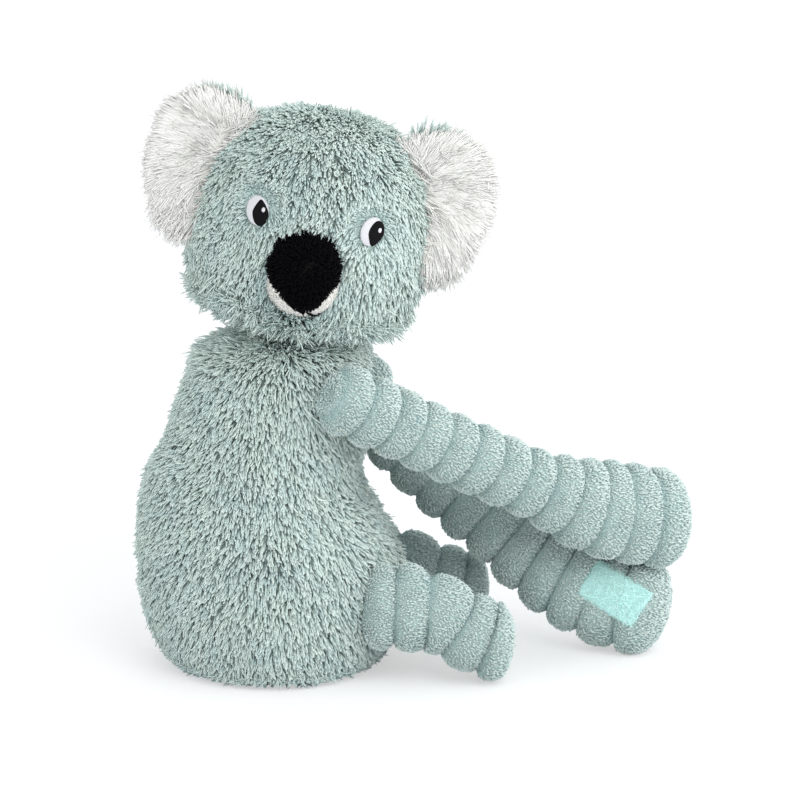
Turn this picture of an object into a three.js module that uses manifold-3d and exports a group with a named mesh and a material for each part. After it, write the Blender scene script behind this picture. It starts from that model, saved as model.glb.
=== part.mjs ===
// Plush koala sitting on the floor, its head turned over its right shoulder.
// Millimetres, +Z up. The body faces -Y and the koala's own left is +X.
// The origin is the middle of the flat seat, on the floor.
import * as THREE from 'three';
import { mergeVertices } from 'three/addons/utils/BufferGeometryUtils.js';
import Module from 'manifold-3d';

const wasm = await Module();
wasm.setup();
const deg = Math.PI / 180;

// Cloth walls and clearances
const plushCloth = 3;
const ribCloth = 2.2;
const seatCloth = 2.4;
const stitchCloth = 0.8;
const sewnGap = 0.35;
const stuffingGap = 0.9;
const overrun = 8;

// Mesh steps, as counts
const torsoSides = 24;
const headSides = 24;
const liningSides = 16;
const limbSides = 12;
const earSides = 18;
const patchSides = 16;
const patchCornerSteps = 3;
const faceSides = 18;
const ballSides = 20;

// Torso: a pear that leans back a little above the seat
const torsoHeight = 152;
const torsoHalfWidth = 54;
const torsoHalfDepth = 58;
// [height, half width, half depth, middle moved back], bottom to top
const torsoOutlineShares = [
  [0, 0.81, 0.75, 0.01],
  [0.04, 0.9, 0.835, 0.01],
  [0.12, 0.975, 0.93, 0.02],
  [0.21, 1, 0.995, 0.02],
  [0.3, 1, 1, 0.035],
  [0.395, 0.95, 0.95, 0.095],
  [0.487, 0.87, 0.865, 0.145],
  [0.6, 0.815, 0.79, 0.155],
  [0.67, 0.78, 0.76, 0.086],
  [0.763, 0.74, 0.71, 0.035],
  [0.855, 0.7, 0.67, 0],
  [0.928, 0.645, 0.61, -0.05],
  [0.974, 0.51, 0.48, -0.09],
  [0.995, 0.3, 0.28, -0.12],
];
const seatRimWidth = 4;
const pelletBagHeight = 15;
const pelletBagRim = 8;

// Neck: a ball of stuffing between two cups, with the sewn ring round it
const neckBallRadius = 14;
const neckRise = 2.5;
const neckForward = 7;
const neckRingRadius = 15.3;
const neckRingHeight = 1.2;
const neckRingDrop = 2.1;

// Head, in a frame of its own: origin at the neck ball, face towards -Y
const headHalfWidth = 52;
const headHalfDepth = 46;
const headHalfHeight = 48;
const headSeatGap = 2.5;
const headTurn = -97 * deg;
const headTilt = 11 * deg;
const headNod = -5 * deg;
// [height, half width and depth], from the chin up
const headOutlineShares = [
  [-0.93, 0.58],
  [-0.83, 0.79],
  [-0.7, 0.895],
  [-0.576, 0.945],
  [-0.4, 0.985],
  [-0.12, 1],
  [0.1, 0.985],
  [0.31, 0.94],
  [0.525, 0.855],
  [0.69, 0.745],
  [0.82, 0.62],
  [0.93, 0.4],
];

// Muzzle, nose and mouth
const muzzleHalfWidth = 18;
const muzzleHalfDepth = 17;
const muzzleHalfHeight = 18.5;
const muzzleForward = 35;
const muzzleDrop = 20.5;
const noseHalfWidth = 15.8;
const noseTop = 2;
const noseBottom = 34;
const noseSide = -0.6;
const noseTurn = 10 * deg;
const noseHalfDepth = 21.5;
const noseSwellWidth = 20;
const noseSwellHeight = 21;
const noseForward = 36.5;
const noseMiddleDrop = 17;
// [half width, height from the bottom point up], one side of the shield
const noseOutlineShares = [
  [0.2, 0.025],
  [0.42, 0.12],
  [0.72, 0.245],
  [0.92, 0.37],
  [1, 0.52],
  [0.957, 0.635],
  [0.875, 0.73],
  [0.79, 0.83],
  [0.69, 0.91],
  [0.45, 0.97],
  [0.15, 1],
];
const smileHalfWidth = 3.6;
const smileSide = 7.2;
const smileDrop = 34.9;
const smileRise = 1.4;
const smileWidth = 1.2;

// Eyes: an oval white, a pupil towards one side of it, a glint on top
const eyeSide = 25.2;
const eyeRise = 5.2;
const eyeHalfWidth = 4.9;
const eyeHalfHeight = 6.4;
const pupilHalfWidth = 3.4;
const pupilHalfHeight = 5.5;
const pupilShift = 1.3;
const pupilDrop = 0.6;
const glintRadius = 0.8;
const glintSide = 1.2;
const glintRise = 1.6;

// Ears: two dished panels back to back, sewn into the side of the head
const earHalfWidth = 27;
const earHalfHeight = 31.5;
const earSide = 53;
const earRise = 17.5;
const earForward = 4;
const earDish = 5;
const earFrontThickness = 6;
const earBackThickness = 5.5;
const earFrontShare = 0.93;
const earBaseLean = 14 * deg;
const earSweep = 12 * deg;
const earFold = 20 * deg;
const earRelief = 0.3;

// Limbs: ribbed tubes with a round root that sits in a hollow of the torso
const armRadius = 15.2;
const handRadius = 22.2;
const rightArmLength = 178;
const leftArmLength = 189;
const handTipReach = 20;
const armFirstGroove = 7;
const armRibs = 11;
const elbowGroove = 5;
const wristGroove = 9;
const legRadius = 16.9;
const legLength = 54;
const legFirstGroove = 6;
const legTipReach = 10.5;
const legRibs = 3;
const ribDepth = 2.6;
const ribCrestShare = 0.22;
const rootOpening = 7;
const jointOpening = 6.5;
const bendHalf = 13.5 * deg;
const bendGap = 0.4;
const floorGap = 0.15;
const seamDiscThickness = 1;
const hollowGap = 0.6;
const seamDiscAngle = 28 * deg;
// where along the arm it widens to the hand, and how flat the hand is
const swellStartShare = 0.53;
const swellEndShare = 0.8;
const handThickShare = 0.74;
const handRoll = 30 * deg;

// Roots of the limbs on the torso, and the height at which each ends
const rightArmRoot = { side: -41.8, front: 28.5, height: 131 };
const leftArmRoot = { side: 42, front: 35.4, height: 124 };
const rightLegRoot = { side: -40, front: 50.5, height: 32 };
const leftLegRoot = { side: 40, front: 47.5, height: 27 };
const rightHandHeight = 57.5;
const leftHandHeight = 19.4;
// Bends as [share of length, share of drop, heading inwards]
const rightArmBendShares = [
  [0.35, 0.405, 12 * deg],
  [0.35, 0.388, 14 * deg],
  [0.15, 0.112, 17 * deg],
  [0.15, 0.095, 20 * deg],
];
const leftArmBendShares = [
  [0.242, 0.345, 20 * deg],
  [0.155, 0.186, 20 * deg],
  [0.151, 0.172, 21 * deg],
  [0.105, 0.11, 21 * deg],
  [0.15, 0.115, 22 * deg],
  [0.074, 0.042, 23 * deg],
  [0.123, 0.03, 24 * deg],
];
const rightLegBendShares = [
  [0.3, 0.06, -5 * deg],
  [0.25, 0.44, -5 * deg],
  [0.25, 0.4, -5 * deg],
  [0.2, 0.1, -5 * deg],
];
const leftLegBendShares = rightLegBendShares.map(([l, d, h]) => [l, d, -h]);

// Hook-and-loop pair on the palms
const patchLength = 30;
const patchWidth = 18.5;
const patchThickness = 1.6;
const patchCorner = 1.5;
const patchTurn = 14 * deg;
const patchMiddle = 166;
const patchMargin = 1;

// Colours
const teal = 0xa5b8b3;
const tealRib = 0xa8bbb7;
const white = 0xe8e7e2;
const black = 0x100e10;
const aqua = 0xa9dcd8;
const fibre = 0xf1f0ec;
const thread = 0x9fb0ac;

const finish = (color, roughness) =>
  new THREE.MeshStandardMaterial({ color, roughness, metalness: 0 });
const plushFinish = finish(teal, 0.95);
const ribFinish = finish(tealRib, 0.92);
const whiteFinish = finish(white, 0.95);
const blackFinish = finish(black, 0.9);
const loopFinish = finish(aqua, 0.8);
const fibreFinish = finish(fibre, 1);
const threadFinish = finish(thread, 0.9);

// Solids: turn a closed geometry into a solid and back
function asSolid(geometry) {
  const bare = geometry.clone();
  bare.deleteAttribute('normal');
  bare.deleteAttribute('uv');
  const merged = mergeVertices(bare);
  return new wasm.Manifold(new wasm.Mesh({
    numProp: 3,
    vertProperties: new Float32Array(merged.attributes.position.array),
    triVerts: new Uint32Array(merged.index.array),
  }));
}

function asGeometry(solid) {
  const mesh = solid.getMesh();
  const geometry = new THREE.BufferGeometry();
  const points = new THREE.BufferAttribute(new Float32Array(mesh.vertProperties), 3);
  geometry.setAttribute('position', points);
  geometry.setIndex(new THREE.BufferAttribute(new Uint32Array(mesh.triVerts), 1));
  geometry.computeVertexNormals();
  return geometry;
}

function cut(geometry, ...tools) {
  let solid = asSolid(geometry);
  for (const tool of tools) solid = solid.subtract(asSolid(tool));
  return asGeometry(solid);
}

function common(geometry, ...others) {
  let solid = asSolid(geometry);
  for (const other of others) solid = solid.intersect(asSolid(other));
  return asGeometry(solid);
}

// Signed volume, by which a mesh is turned to face outwards
function signedVolume(points, faces) {
  let sum = 0;
  for (const [a, b, c] of faces) {
    sum += points[a].dot(points[b].clone().cross(points[c]));
  }
  return sum;
}

// A closed surface through rings of points; a ring of one point is a pole
function loft(rings, ringJoined = false) {
  const points = rings.flat();
  const starts = [];
  rings.reduce((start, ring) => {
    starts.push(start);
    return start + ring.length;
  }, 0);
  const faces = [];
  const steps = ringJoined ? rings.length : rings.length - 1;
  for (let i = 0; i < steps; i += 1) {
    const j = (i + 1) % rings.length;
    const [n, m] = [rings[i].length, rings[j].length];
    for (let k = 0; k < Math.max(n, m); k += 1) {
      const [a, b] = [starts[i] + (k % n), starts[i] + ((k + 1) % n)];
      const [c, d] = [starts[j] + (k % m), starts[j] + ((k + 1) % m)];
      if (n > 1) faces.push([a, b, c]);
      if (m > 1) faces.push([b % (starts[i] + n), d, c]);
    }
  }
  const outwards = signedVolume(points, faces) > 0;
  const geometry = new THREE.BufferGeometry();
  geometry.setFromPoints(points);
  geometry.setIndex(faces.flatMap(([a, b, c]) => (outwards ? [a, b, c] : [a, c, b])));
  geometry.computeVertexNormals();
  return geometry;
}

function ovalRing(middle, halfWidth, halfDepth, sides) {
  return Array.from({ length: sides }, (_, k) => {
    const turn = (2 * Math.PI * k) / sides;
    return new THREE.Vector3(
      middle.x + halfWidth * Math.cos(turn),
      middle.y + halfDepth * Math.sin(turn),
      middle.z,
    );
  });
}

function ball(radius, middle, sides = ballSides) {
  return egg(radius, radius, radius, middle, sides);
}

function egg(halfWidth, halfDepth, halfHeight, middle, sides = faceSides) {
  const geometry = new THREE.SphereGeometry(1, sides, Math.ceil(sides / 2));
  geometry.scale(halfWidth, halfDepth, halfHeight);
  return geometry.translate(middle.x, middle.y, middle.z);
}

const origin = new THREE.Vector3();

// Torso form, drawn in by inset all round and by lift at the floor; inside
// the cloth every second row of the outline is enough
function torsoForm(inset, lift) {
  const top = torsoHeight - inset;
  const rows = torsoOutlineShares.filter((_, i) => inset === 0 || i % 2 === 0);
  const rings = rows.map(([height, width, depth, back]) => ovalRing(
    new THREE.Vector3(0, back * torsoHalfDepth, lift + height * (top - lift)),
    width * torsoHalfWidth - inset,
    depth * torsoHalfDepth - inset,
    inset === 0 ? torsoSides : liningSides,
  ));
  const topBack = torsoOutlineShares.at(-1)[3] * torsoHalfDepth;
  return loft([
    [new THREE.Vector3(0, 0, lift)],
    ...rings,
    [new THREE.Vector3(0, topBack, top)],
  ]);
}

function headForm(inset) {
  const up = neckToHeadMiddle;
  const rise = headHalfHeight - inset;
  const rows = headOutlineShares.filter((_, i) => inset <= 0 || i % 2 === 0);
  const rings = rows.map(([height, width]) => ovalRing(
    new THREE.Vector3(0, 0, up + height * rise),
    width * headHalfWidth - inset,
    width * headHalfDepth - inset,
    inset <= 0 ? headSides : liningSides,
  ));
  return loft([
    [new THREE.Vector3(0, 0, up - rise)],
    ...rings,
    [new THREE.Vector3(0, 0, up + rise)],
  ]);
}

const neckMiddle = new THREE.Vector3(0, -neckForward, torsoHeight + neckRise);
const neckToHeadMiddle = headHalfHeight + headSeatGap;

// Limbs are drawn about their root; a route gives the middle line and its frame
function limbRoute(root, bends, length, endHeight, inwards) {
  const drop = root.height - endHeight;
  const place = new THREE.Vector3();
  const points = [place.clone()];
  for (const [lengthShare, dropShare, heading] of bends) {
    const [run, fall] = [lengthShare * length, dropShare * drop];
    const level = Math.sqrt(Math.max(run * run - fall * fall, 0));
    place.x += inwards * level * Math.sin(heading);
    place.y -= level * Math.cos(heading);
    place.z -= fall;
    points.push(place.clone());
  }
  return new THREE.CatmullRomCurve3(points, false, 'centripetal');
}

function frameAt(route, length, along) {
  const share = Math.min(Math.max(along / length, 0), 1);
  const middle = route.getPointAt(share);
  const forward = route.getTangentAt(share);
  middle.addScaledVector(forward, along - share * length);
  const across = new THREE.Vector3(-forward.y, forward.x, 0).normalize();
  const upwards = new THREE.Vector3().crossVectors(forward, across);
  if (upwards.z < 0) upwards.negate();
  return { middle, forward, across, upwards };
}

// The hand is rolled so that its palm looks up or down as well as inwards
function rolledFrame(limb, along) {
  const { middle, forward, across, upwards } = frameAt(limb.route, limb.length, along);
  if (Math.sign(across.x) !== limb.inwards) across.negate();
  const roll = limb.roll * swell(limb, along);
  const palm = across.clone().multiplyScalar(Math.cos(roll))
    .addScaledVector(upwards, Math.sin(roll));
  const broad = upwards.clone().multiplyScalar(Math.cos(roll))
    .addScaledVector(across, -Math.sin(roll));
  return { middle, forward, palm, broad };
}

function limbRing(limb, along, radius) {
  const { middle, palm, broad } = rolledFrame(limb, along);
  if (radius === 0) return [middle];
  const thin = 1 - (1 - limb.thickShare) * swell(limb, along);
  return Array.from({ length: limbSides }, (_, k) => {
    const turn = (2 * Math.PI * (k + 1 / 2)) / limbSides;
    return middle.clone()
      .addScaledVector(palm, radius * thin * Math.cos(turn))
      .addScaledVector(broad, radius * Math.sin(turn));
  });
}

function swell(limb, along) {
  const share = along / limb.length;
  return THREE.MathUtils.smoothstep(share, swellStartShare, swellEndShare);
}

const crestAt = (limb, along) =>
  limb.radius + (limb.endRadius - limb.radius) * swell(limb, along);
const wallAt = (limb, along) => crestAt(limb, along) - ribDepth - ribCloth;

function limbForm(limb, profile, joined) {
  return loft(profile.map(([along, radius]) => limbRing(limb, along, radius)), joined);
}

// Round root seen as [along, radius], from the opening to the widest ring
function rootDome(radius, opening, steps) {
  const start = Math.asin(opening / radius);
  return Array.from({ length: steps + 1 }, (_, k) => {
    const angle = start + ((Math.PI / 2 - start) * k) / steps;
    return [-radius * Math.cos(angle), radius * Math.sin(angle)];
  });
}

// Rounded tip as [along, radius], from the widest ring to the pole
function tipDome(limb, radius, end, start, steps) {
  return Array.from({ length: steps + 1 }, (_, k) => {
    const angle = (Math.PI / 2) * (k / steps);
    const reach = k === steps ? 0 : radius * Math.cos(angle);
    return [start + (end - start) * Math.sin(angle), reach];
  });
}

const grooveAt = (limb, k) => limb.firstGroove + k * limb.pitch;

// Outer ribs between two grooves, each a groove ring and two crest rings
function ribRings(limb, from, to) {
  const rings = [];
  for (let k = from; k < to; k += 1) {
    for (const share of [ribCrestShare, 1 - ribCrestShare]) {
      const along = grooveAt(limb, k) + share * limb.pitch;
      rings.push([along, crestAt(limb, along)]);
    }
    if (k + 1 < to) {
      const along = grooveAt(limb, k + 1);
      rings.push([along, crestAt(limb, along) - ribDepth]);
    }
  }
  return rings;
}

// Cone of clearance that lets a sleeve bend at a groove
const coneReach = (radius) => radius * Math.tan(bendHalf) + bendGap / 2;

// Sleeve from one bend to the next; from and to are groove numbers, null at an end
function sleeve(limb, from, to) {
  const outer = [];
  const inner = [];
  const lastGroove = limb.ribs;
  const firstRib = from ?? 0;
  const lastRib = to ?? lastGroove;
  if (from === null) {
    outer.push(...rootDome(limb.radius, rootOpening, 3));
    const half = limb.firstGroove / 2;
    outer.push([half, Math.sqrt(limb.radius ** 2 - half ** 2)]);
    outer.push([limb.firstGroove, limb.radius - ribDepth]);
    inner.push(...rootDome(wallAt(limb, 0), rootOpening, 2));
  } else {
    const joint = grooveAt(limb, from);
    const crest = crestAt(limb, joint);
    outer.push([joint + coneReach(jointOpening), jointOpening]);
    outer.push([joint + coneReach(crest), crest]);
    inner.push([joint + coneReach(jointOpening) + ribCloth, jointOpening]);
    const shoulder = joint + coneReach(wallAt(limb, joint)) + ribCloth;
    inner.push([shoulder, wallAt(limb, shoulder)]);
  }
  const ribs = ribRings(limb, firstRib, lastRib);
  outer.push(...ribs.filter(([along]) => (
    (from === null || along > grooveAt(limb, from) + limb.pitch / 2)
    && (to === null || along < grooveAt(limb, to) - limb.pitch / 2)
  )));
  for (let k = firstRib + 1; k < lastRib; k += 1) {
    inner.push([grooveAt(limb, k), wallAt(limb, grooveAt(limb, k))]);
  }
  if (to === null) {
    const lip = grooveAt(limb, lastGroove);
    const reach = limb.length - lip;
    outer.push([lip, crestAt(limb, lip) - ribDepth]);
    outer.push(...tipDome(limb, crestAt(limb, limb.length), limb.length, lip + reach / 3, 3));
    const end = limb.length - ribCloth;
    inner.push(...tipDome(limb, wallAt(limb, limb.length), end, lip, 2));
    return limbForm(limb, [...inner.toReversed(), ...outer], false);
  }
  const joint = grooveAt(limb, to);
  const crest = crestAt(limb, joint);
  outer.push([joint - coneReach(crest), crest]);
  outer.push([joint - coneReach(jointOpening), jointOpening]);
  const shoulder = joint - coneReach(wallAt(limb, joint)) - ribCloth;
  inner.push([shoulder, wallAt(limb, shoulder)]);
  inner.push([joint - coneReach(jointOpening) - ribCloth, jointOpening]);
  return limbForm(limb, [...outer, ...inner.toReversed()], true);
}

// Stuffing of the same stretch; at a bend it narrows and comes to a point
function stuffing(limb, from, to) {
  const neck = jointOpening - stuffingGap;
  const fill = (along) => wallAt(limb, along) - stuffingGap;
  const profile = [];
  if (from === null) {
    const radius = fill(0);
    profile.push([-radius, 0]);
    profile.push(...rootDome(radius, radius / 2, 2));
  } else {
    const joint = grooveAt(limb, from);
    const inset = ribCloth + stuffingGap;
    const shoulder = joint + coneReach(fill(joint)) + inset;
    profile.push([joint + bendGap / 2, 0]);
    profile.push([joint + coneReach(neck), neck]);
    profile.push([joint + coneReach(jointOpening) + inset, neck]);
    profile.push([shoulder, fill(shoulder)]);
  }
  for (let k = (from ?? 0) + 1; k < (to ?? limb.ribs); k += 1) {
    profile.push([grooveAt(limb, k), fill(grooveAt(limb, k))]);
  }
  if (to === null) {
    const end = limb.length - ribCloth - stuffingGap;
    const lip = grooveAt(limb, limb.ribs) - stuffingGap;
    profile.push(...tipDome(limb, fill(limb.length), end, lip, 2));
  } else {
    const joint = grooveAt(limb, to);
    const inset = ribCloth + stuffingGap;
    const shoulder = joint - coneReach(fill(joint)) - inset;
    profile.push([shoulder, fill(shoulder)]);
    profile.push([joint - coneReach(jointOpening) - inset, neck]);
    profile.push([joint - coneReach(neck), neck]);
    profile.push([joint - bendGap / 2, 0]);
  }
  return limbForm(limb, profile, false);
}

const rootPoint = (root) => new THREE.Vector3(root.side, -root.front, root.height);

function makeLimb(root, bends, length, shape) {
  const inwards = -Math.sign(root.side);
  const endHeight = shape.endHeight ?? shape.endRadius + floorGap;
  const route = limbRoute(root, bends, length, endHeight, inwards);
  const pitch = (length - shape.firstGroove - shape.tipReach) / shape.ribs;
  return { ...shape, length, pitch, route, root: rootPoint(root), inwards };
}

const armShape = {
  radius: armRadius,
  endRadius: handRadius,
  thickShare: handThickShare,
  firstGroove: armFirstGroove,
  tipReach: handTipReach,
  ribs: armRibs,
};
const legShape = {
  radius: legRadius,
  endRadius: legRadius,
  thickShare: 1,
  roll: 0,
  firstGroove: legFirstGroove,
  tipReach: legTipReach,
  ribs: legRibs,
};
const limbs = {
  right_arm: makeLimb(rightArmRoot, rightArmBendShares, rightArmLength, {
    ...armShape, endHeight: rightHandHeight, roll: -handRoll,
  }),
  left_arm: makeLimb(leftArmRoot, leftArmBendShares, leftArmLength, {
    ...armShape, endHeight: leftHandHeight, roll: handRoll,
  }),
  right_leg: makeLimb(rightLegRoot, rightLegBendShares, legLength, legShape),
  left_leg: makeLimb(leftLegRoot, leftLegBendShares, legLength, legShape),
};

// Hollow in the torso for a limb's round root, with room for the seam disc
const hollowRadius = (limb, extra) =>
  limb.radius + sewnGap + seamDiscThickness + hollowGap + extra;
const rootBalls = (extra) => Object.values(limbs).map(
  (limb) => ball(hollowRadius(limb, extra), limb.root, extra ? liningSides : ballSides),
);

// The torso's middle line at the height of a root, which the seam disc faces
function towardsTorso(limb) {
  return new THREE.Vector3(-limb.root.x, -limb.root.y, 0).normalize();
}

function seamDisc(limb) {
  const inside = limb.radius + sewnGap;
  const outside = inside + seamDiscThickness;
  const steps = 2;
  const arc = (radius) => Array.from({ length: steps + 1 }, (_, k) => {
    const angle = (seamDiscAngle * k) / steps;
    return new THREE.Vector2(radius * Math.sin(angle), radius * Math.cos(angle));
  });
  const outline = [...arc(inside), ...arc(outside).reverse()];
  const geometry = new THREE.LatheGeometry(outline, limbSides);
  const upright = new THREE.Vector3(0, 1, 0);
  const turn = new THREE.Quaternion().setFromUnitVectors(upright, towardsTorso(limb));
  return windOut(geometry.applyQuaternion(turn));
}

// A lathe may come out inside out; turn it if so
function windOut(geometry) {
  geometry.deleteAttribute('normal');
  geometry.deleteAttribute('uv');
  const merged = mergeVertices(geometry);
  const place = merged.attributes.position;
  const points = Array.from({ length: place.count }, (_, i) =>
    new THREE.Vector3().fromBufferAttribute(place, i));
  const index = Array.from(merged.index.array);
  const faces = [];
  for (let i = 0; i < index.length; i += 3) {
    const face = index.slice(i, i + 3);
    if (new Set(face).size === 3) faces.push(face);
  }
  const outwards = signedVolume(points, faces) > 0;
  merged.setIndex(faces.flatMap(([a, b, c]) => (outwards ? [a, b, c] : [a, c, b])));
  merged.computeVertexNormals();
  return merged;
}

function addPiece(parent, name, geometry, material) {
  const mesh = new THREE.Mesh(geometry, material);
  mesh.name = name;
  parent.add(mesh);
  return mesh;
}

const koala = new THREE.Group();

// Torso cover, seat panel, pellet bag and stuffing
const seatHalfWidth = torsoOutlineShares[0][1] * torsoHalfWidth - seatRimWidth;
const seatHalfDepth = torsoOutlineShares[0][2] * torsoHalfDepth - seatRimWidth;

function seatSlab(grow, bottom, top) {
  const rings = [bottom, top].map((z) => ovalRing(
    new THREE.Vector3(0, 0, z), seatHalfWidth + grow, seatHalfDepth + grow, torsoSides,
  ));
  return loft([[new THREE.Vector3(0, 0, bottom)], ...rings, [new THREE.Vector3(0, 0, top)]]);
}

function pelletBag(grow) {
  const middle = seatCloth + stuffingGap + pelletBagHeight / 2;
  const rows = [[-1 / 2, -1], [-1 / 4, 0], [1 / 4, 0], [1 / 2, -1]];
  const rings = rows.map(([rise, draw]) => ovalRing(
    new THREE.Vector3(0, 0, middle + rise * (pelletBagHeight + 2 * grow)),
    seatHalfWidth + draw * pelletBagRim + grow,
    seatHalfDepth + draw * pelletBagRim + grow,
    torsoSides,
  ));
  const reach = pelletBagHeight / 2 + grow;
  return loft([
    [new THREE.Vector3(0, 0, middle - reach)],
    ...rings,
    [new THREE.Vector3(0, 0, middle + reach)],
  ]);
}

function addTorso() {
  const neckCup = ball(neckBallRadius + sewnGap, neckMiddle);
  const lining = cut(torsoForm(plushCloth, seatCloth), ...rootBalls(plushCloth));
  const cover = cut(
    torsoForm(0, 0),
    ...rootBalls(0),
    lining,
    seatSlab(sewnGap, -overrun, seatCloth + sewnGap),
    neckCup,
  );
  addPiece(koala, 'torso_cover', cover, plushFinish);
  addPiece(koala, 'seat_panel', seatSlab(0, 0, seatCloth), plushFinish);
  addPiece(koala, 'pellet_bag', pelletBag(0), fibreFinish);
  const fill = cut(
    torsoForm(plushCloth + stuffingGap, seatCloth + stuffingGap),
    ...rootBalls(plushCloth + stuffingGap),
    pelletBag(stuffingGap),
    seatSlab(sewnGap + stuffingGap, -overrun, seatCloth + pelletBagHeight / 2),
    neckCup,
  );
  addPiece(koala, 'torso_filling', fill, fibreFinish);
}

// Neck ball and the sewn ring that goes round it
function addNeck() {
  const neck = new THREE.Group();
  neck.position.copy(neckMiddle);
  addPiece(neck, 'neck_filling', windOut(ball(neckBallRadius, origin)), fibreFinish);
  const ring = new THREE.CylinderGeometry(
    neckRingRadius, neckRingRadius, neckRingHeight, headSides,
  );
  ring.rotateX(Math.PI / 2).translate(0, 0, -neckRingDrop);
  addPiece(neck, 'neck_seam', cut(ring, ball(neckBallRadius + sewnGap, origin)), threadFinish);
  koala.add(neck);
}

// Shapes raised on the head: an oval or outline cut from a skin over a form
function facePrism(outline, side, rise) {
  const shape = new THREE.Shape(outline.map(([x, z]) => new THREE.Vector2(x, z)));
  const depth = 2 * headHalfDepth;
  const geometry = new THREE.ExtrudeGeometry(shape, { depth, bevelEnabled: false });
  geometry.rotateX(Math.PI / 2);
  geometry.translate(side, 0, rise);
  return windOut(geometry);
}

function ovalOutline(halfWidth, halfHeight) {
  return Array.from({ length: patchSides }, (_, k) => {
    const turn = (2 * Math.PI * k) / patchSides;
    return [halfWidth * Math.cos(turn), halfHeight * Math.sin(turn)];
  });
}

function skinPatch(outline, side, rise, form, low, high) {
  const raised = common(form(-high), facePrism(outline, side, rise));
  return cut(raised, form(-low));
}

function addEye(head, name, hand) {
  const middle = neckToHeadMiddle + eyeRise;
  const layers = [
    ['eye_white', ovalOutline(eyeHalfWidth, eyeHalfHeight), 0, 0, whiteFinish],
    ['eye_pupil', ovalOutline(pupilHalfWidth, pupilHalfHeight), pupilShift, -pupilDrop, blackFinish],
    ['eye_glint', ovalOutline(glintRadius, glintRadius),
      pupilShift + glintSide, glintRise - pupilDrop, whiteFinish],
  ];
  layers.forEach(([part, outline, side, rise, material], i) => {
    const low = sewnGap + i * (stitchCloth + sewnGap);
    const geometry = skinPatch(
      outline, hand * eyeSide + side, middle + rise, headForm, low, low + stitchCloth,
    );
    addPiece(head, `${name}_${part}`, geometry, material);
  });
}

function muzzleForm(grow) {
  const middle = new THREE.Vector3(0, -muzzleForward, neckToHeadMiddle - muzzleDrop);
  return egg(muzzleHalfWidth + grow, muzzleHalfDepth + grow, muzzleHalfHeight + grow, middle);
}

function addMuzzle(head) {
  addPiece(head, 'muzzle', cut(muzzleForm(0), headForm(-sewnGap)), whiteFinish);
  const height = noseTop + noseBottom;
  const half = noseOutlineShares.map(([w, h]) => [w * noseHalfWidth, (h - 1 / 2) * height]);
  const upright = [[0, -height / 2], ...half, ...half.toReversed().map(([x, z]) => [-x, z])];
  const outline = upright.map(([x, z]) => [
    x * Math.cos(noseTurn) - z * Math.sin(noseTurn),
    x * Math.sin(noseTurn) + z * Math.cos(noseTurn),
  ]);
  const middle = new THREE.Vector3(noseSide, -noseForward, neckToHeadMiddle - noseMiddleDrop);
  const swollen = egg(noseSwellWidth, noseHalfDepth, noseSwellHeight, middle);
  const nose = cut(
    common(swollen, facePrism(outline, noseSide, neckToHeadMiddle + noseTop - height / 2)),
    muzzleForm(sewnGap),
    headForm(-sewnGap),
  );
  addPiece(head, 'nose', nose, blackFinish);
  const bow = Array.from({ length: patchSides / 2 + 1 }, (_, k) => {
    const along = (2 * k) / (patchSides / 2) - 1;
    return [along * smileHalfWidth, along * along * smileRise];
  });
  const smile = [...bow, ...bow.toReversed().map(([x, z]) => [x, z - smileWidth])];
  const skin = (grow) => muzzleForm(-grow);
  const geometry = cut(
    skinPatch(smile, smileSide, neckToHeadMiddle - smileDrop, skin, sewnGap, sewnGap + stitchCloth),
    headForm(-sewnGap),
  );
  addPiece(head, 'mouth_stitch', geometry, blackFinish);
}

// One dished ear panel, pole to pole; side +1 is the front, -1 the back
function earPanel(reachShare, thickness, side) {
  const steps = 4;
  const seam = (side * sewnGap) / 2;
  const level = (share) => earDish * share * share;
  const row = (share, lift) => ({ share: share * reachShare, lift });
  const rows = [];
  for (let k = 0; k <= steps; k += 1) {
    const share = Math.sin((Math.PI / 2) * (k / steps));
    const round = Math.sqrt(Math.max(1 - share * share, 0));
    rows.push(row(share, seam + side * thickness * round));
  }
  for (let k = steps - 2; k >= 0; k -= 2) {
    rows.push(row(k / steps, seam));
  }
  const rings = rows.map(({ share, lift }) => {
    const forward = -(level(share) + lift);
    if (share === 0) return [new THREE.Vector3(0, forward, 0)];
    return ovalRing(origin, share * earHalfWidth, share * earHalfHeight, earSides)
      .map((p) => new THREE.Vector3(p.x, forward, p.y));
  });
  return loft(rings);
}

function addEar(head, name, hand) {
  const middle = new THREE.Vector3(
    hand * earSide, -earForward, neckToHeadMiddle + earRise,
  );
  const hinge = earHinge(hand);
  const panels = [
    ['front', earFrontShare, earFrontThickness, 1, whiteFinish],
    ['back', 1, earBackThickness, -1, plushFinish],
  ];
  for (const [part, reach, thickness, side, material] of panels) {
    const panel = earPanel(reach, thickness, side);
    panel.rotateZ(-hand * earSweep).rotateY(hand * earBaseLean / 2);
    panel.translate(middle.x, middle.y, middle.z);
    // clear of the head at rest and as the ear folds either way
    const clear = [0, -1, -1 / 2, 1 / 2, 1].map((share) => {
      const form = headForm(-(share ? earRelief : sewnGap));
      if (share === 0) return form;
      form.translate(-hinge.point.x, -hinge.point.y, -hinge.point.z);
      form.applyQuaternion(new THREE.Quaternion().setFromAxisAngle(hinge.axis, share * earFold));
      return form.translate(hinge.point.x, hinge.point.y, hinge.point.z);
    });
    addPiece(head, `${name}_ear_${part}`, cut(panel, ...clear), material);
  }
}

// The fold line of an ear: on the side of the head, leaning in at the top
function earHinge(hand) {
  const rise = earRise;
  const height = rise / headHalfHeight;
  const girth = Math.sqrt(1 - height * height);
  return {
    point: new THREE.Vector3(
      hand * girth * headHalfWidth, -earForward, neckToHeadMiddle + rise,
    ),
    axis: new THREE.Vector3(-hand * Math.sin(earBaseLean), 0, Math.cos(earBaseLean)),
  };
}

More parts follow.
